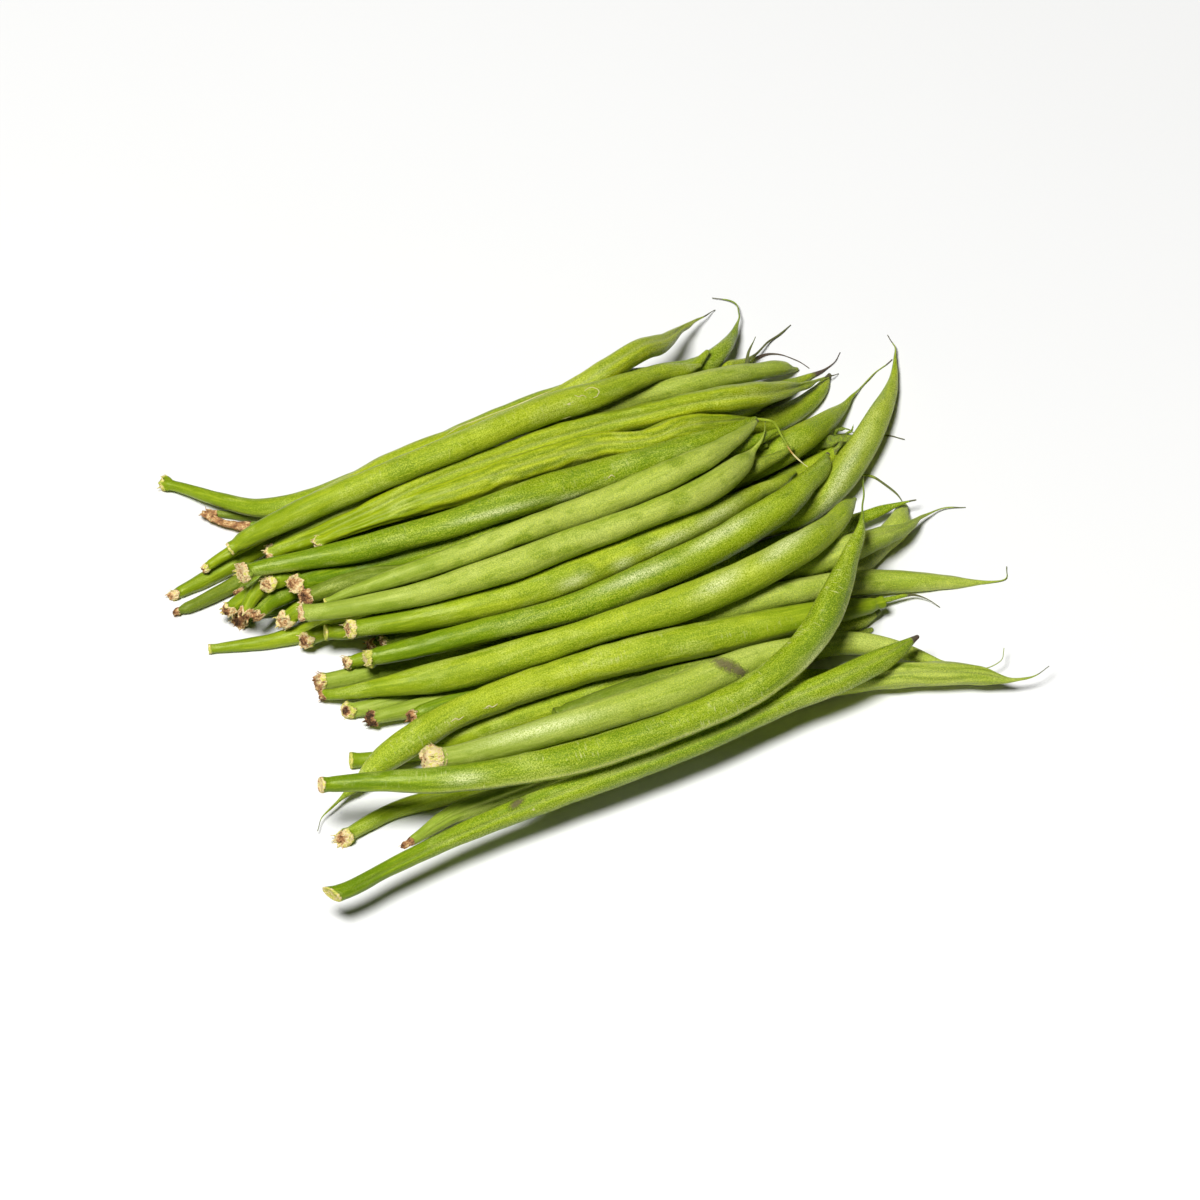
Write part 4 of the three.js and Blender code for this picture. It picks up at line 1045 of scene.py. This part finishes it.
def make_skin(slot):
    light, deep, roughness = SKINS[slot]
    deepest = (*(DEEPEST * part for part in deep), 1)
    light, deep = (*light, 1), (*deep, 1)
    material = bpy.data.materials.new("pod_" + slot)
    material.use_nodes = True
    material.node_tree.nodes.clear()
    nodes = Nodes(material.node_tree)
    times, plus, larger, ramp = nodes.times, nodes.plus, nodes.larger, nodes.ramp

    place = nodes.field("straight")
    stem, tip, tones, seam, marks, painted_highlight = map(nodes.parts, FIELDS)
    down = nodes.group("velvet", Place=place)
    clouds = nodes.group("mottle", Place=place, Light=light, Deep=deep)
    flecked = nodes.group("flecks", Place=place)
    spotted = nodes.group("spots", Place=place, Amount=tones[1])
    scar = nodes.group("broken_edge", Place=place, Amount=marks[1], Fullness=SCAR_FULLNESS)
    crust = nodes.group("broken_edge", Place=place, Amount=marks[2])
    stem_dry = nodes.group("withered", Place=place, Amount=stem[0], Tone=stem[1])
    tip_dry = nodes.group("dried_tail", Place=place, Amount=tip[0], Tone=tones[0])

    grain, fibre = down["Grain"], down["Fibre"]
    grainy = ramp(stem[2], 0, 1, 1, NECK_GRAIN)
    streaks = times(times(flecked["Pale"], tones[2]), grainy)
    # each layer's mask and colour, from the lowest
    layers = [
        (larger(tip[2], 0.0), light),
        (larger(times(tip[2], -1.0), 0.0), deep),
        (larger(times(spotted["Mask"], SPOT), ramp(marks[0], 0.2, 0.6, 0, BRUISE)), SPOT_GREEN),
        # painted shade in the seam's groove and in the valleys between the ribs
        (times(seam[1], GROOVE_SHADE_COVER), GROOVE_SHADE_GREEN),
        (times(seam[0], SEAM), SEAM_GREEN),
        (times(stem[2], NECK_DEEP), deepest),
        (ramp(fibre, 0.5, 0.68, 0, FIBRES), light),
        (ramp(fibre, 0.5, 0.34, 0, FIBRES), deepest),
        (times(ramp(grain, 0.5, 0.61, 0, DOWN_LIGHT), grainy), DOWN_GREEN),
        (times(ramp(grain, 0.5, 0.39, 0, DOWN_DARK), grainy), deepest),
        (times(clouds["Bloom"], ramp(grain, 0.4, 0.6, 0.03, BLOOM)), BLOOM_PALE),
        # painted highlight: pale patches that stand in for the sheen of the lamp
        (times(painted_highlight[0], ramp(grain, 0.42, 0.56, 0.1, PAINTED_HIGHLIGHT_COVER)), PAINTED_HIGHLIGHT_PALE),
        (times(streaks, FLECK), FLECK_PALE),
        (times(flecked["Dark"], POINT), DARK_POINT),
        (tip[1], OLIVE_GREEN),
        (times(seam[2], EDGE), EDGE_DARK),
        (times(scar["Mask"], ramp(marks[1], 0.1, 0.75, 0.25, SCAR)), SCAR_BROWN),
        (crust["Mask"], CRUST_PALE),
        (stem_dry["Mask"], stem_dry["Color"]),
        (tip_dry["Mask"], tip_dry["Color"]),
    ]
    colour = clouds["Color"]
    for mask, paint in layers:
        colour = nodes.blend(mask, colour, paint)

    dry = larger(stem_dry["Mask"], larger(tip_dry["Mask"], scar["Mask"]))
    rough = ramp(grain, 0.3, 0.7, roughness - GRAIN_GLOSS, roughness + GRAIN_DULL)
    rough = nodes.math("SUBTRACT", rough, times(clouds["Cloud"], CLOUD_GLOSS))
    rough = larger(plus(rough, times(stem[2], NECK_DULL)), times(dry, DRY_ROUGH))
    height = plus(times(times(grain, grainy), DOWN_HIGH), times(down["Soft"], WAVES_HIGH))
    crusted = times(plus(streaks, crust["Mask"]), STREAKS_HIGH)
    fibrous = times(times(stem_dry["Fibre"], dry), FIBRES_HIGH)
    height = plus(height, plus(crusted, fibrous))
    bump = nodes.add("ShaderNodeBump", {"Height": height, "Strength": 0.9, "Distance": 1.0})

    shader = nodes.add("ShaderNodeBsdfPrincipled", {
        "Base Color": colour, "Roughness": rough, "Normal": bump.outputs["Normal"],
        "IOR": 1.37, "Specular IOR Level": 0.5, "Specular Tint": (0.97, 1, 0.55, 1),
        "Subsurface Weight": 0.05, "Subsurface Radius": (1.0, 1.0, 0.3),
        "Subsurface Scale": 1 * MM})
    nodes.add("ShaderNodeOutputMaterial", {"Surface": shader.outputs[0]})
    return material


MATERIALS = {slot: make_skin(slot) for slot in SKINS}
SLOT_OF = {part["node"]: part["material_slot"] for part in frame["record"]["subparts"]}


def make_bean(number):
    bean = Bean(number)
    grow_flower_leaves(bean)
    for where, points, half_width in SCRATCHES:
        if where == number:
            bean.scratch(points, half_width)
    name, slot = f"pod_{number:02d}", SLOT_OF[node_of(number)]
    mesh = bpy.data.meshes.new(name)
    mesh.from_pydata(bean.all_points().tolist(), [], bean.all_faces())
    mesh.polygons.foreach_set("use_smooth", np.ones(len(mesh.polygons), bool))
    mesh.materials.append(MATERIALS[slot])
    for field in ("straight", *FIELDS):
        layer = mesh.attributes.new(field, "FLOAT_VECTOR", "POINT")
        layer.data.foreach_set("vector", bean.all_values(field).astype(np.float32).ravel())
    piece = add_object(name, mesh)
    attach(piece, "root")
    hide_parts(node_of(number))


for bean_number in LOOKS:
    make_bean(bean_number)

# ---------------- floor and light

FLOOR_SIZE = 6
FLOOR_GREYS = ((0.78, 0.78, 0.77, 1), (0.82, 0.82, 0.81, 1))
FLOOR_ROUGHNESS = 0.8
FLOOR_DROP = 0.05 * MM       # how far it lies under the beans
CLOUDS_PER_METRE = 4.0
WORLD_LIGHT = 0.02


def make_floor():
    mesh = bpy.data.meshes.new("floor")
    half = FLOOR_SIZE / 2
    corners = [(-half, -half, 0), (half, -half, 0), (half, half, 0), (-half, half, 0)]
    mesh.from_pydata(corners, [], [(0, 1, 2, 3)])
    floor = add_object("floor", mesh, (AIM[0], AIM[1], -FLOOR_DROP))
    material = bpy.data.materials.new("pale_floor")
    material.use_nodes = True
    nodes = Nodes(material.node_tree)
    shader = nodes.tree.nodes["Principled BSDF"]
    place = nodes.add("ShaderNodeTexCoord").outputs["Object"]
    cloud = nodes.add("ShaderNodeTexNoise", {"Vector": place, "Scale": CLOUDS_PER_METRE})
    nodes.give(shader.inputs["Base Color"], nodes.blend(cloud.outputs["Fac"], *FLOOR_GREYS))
    nodes.give(shader.inputs["Roughness"], FLOOR_ROUGHNESS)
    mesh.materials.append(material)


def add_softbox(name, azimuth, elevation, distance, size, power):
    a, e = math.radians(azimuth), math.radians(elevation)
    back = Vector((math.sin(a) * math.cos(e), -math.cos(a) * math.cos(e), math.sin(e)))
    data = bpy.data.lights.new(name, "AREA")
    data.shape = "DISK"
    data.size = size
    data.energy = power
    turn_to(add_object(name, data, Vector(AIM) + back * distance), -back)


def make_world(strength):
    world = bpy.data.worlds.new("studio")
    world.use_nodes = True
    background = world.node_tree.nodes["Background"]
    background.inputs["Color"].default_value = (1, 1, 1, 1)
    background.inputs["Strength"].default_value = strength
    bpy.context.scene.world = world


make_floor()
add_softbox("top_softbox", azimuth=-60, elevation=68, distance=2.2, size=0.7, power=67)
add_softbox("back_softbox", azimuth=150, elevation=50, distance=2.0, size=0.9, power=1)
make_world(WORLD_LIGHT)
bpy.context.scene.view_settings.view_transform = "Standard"
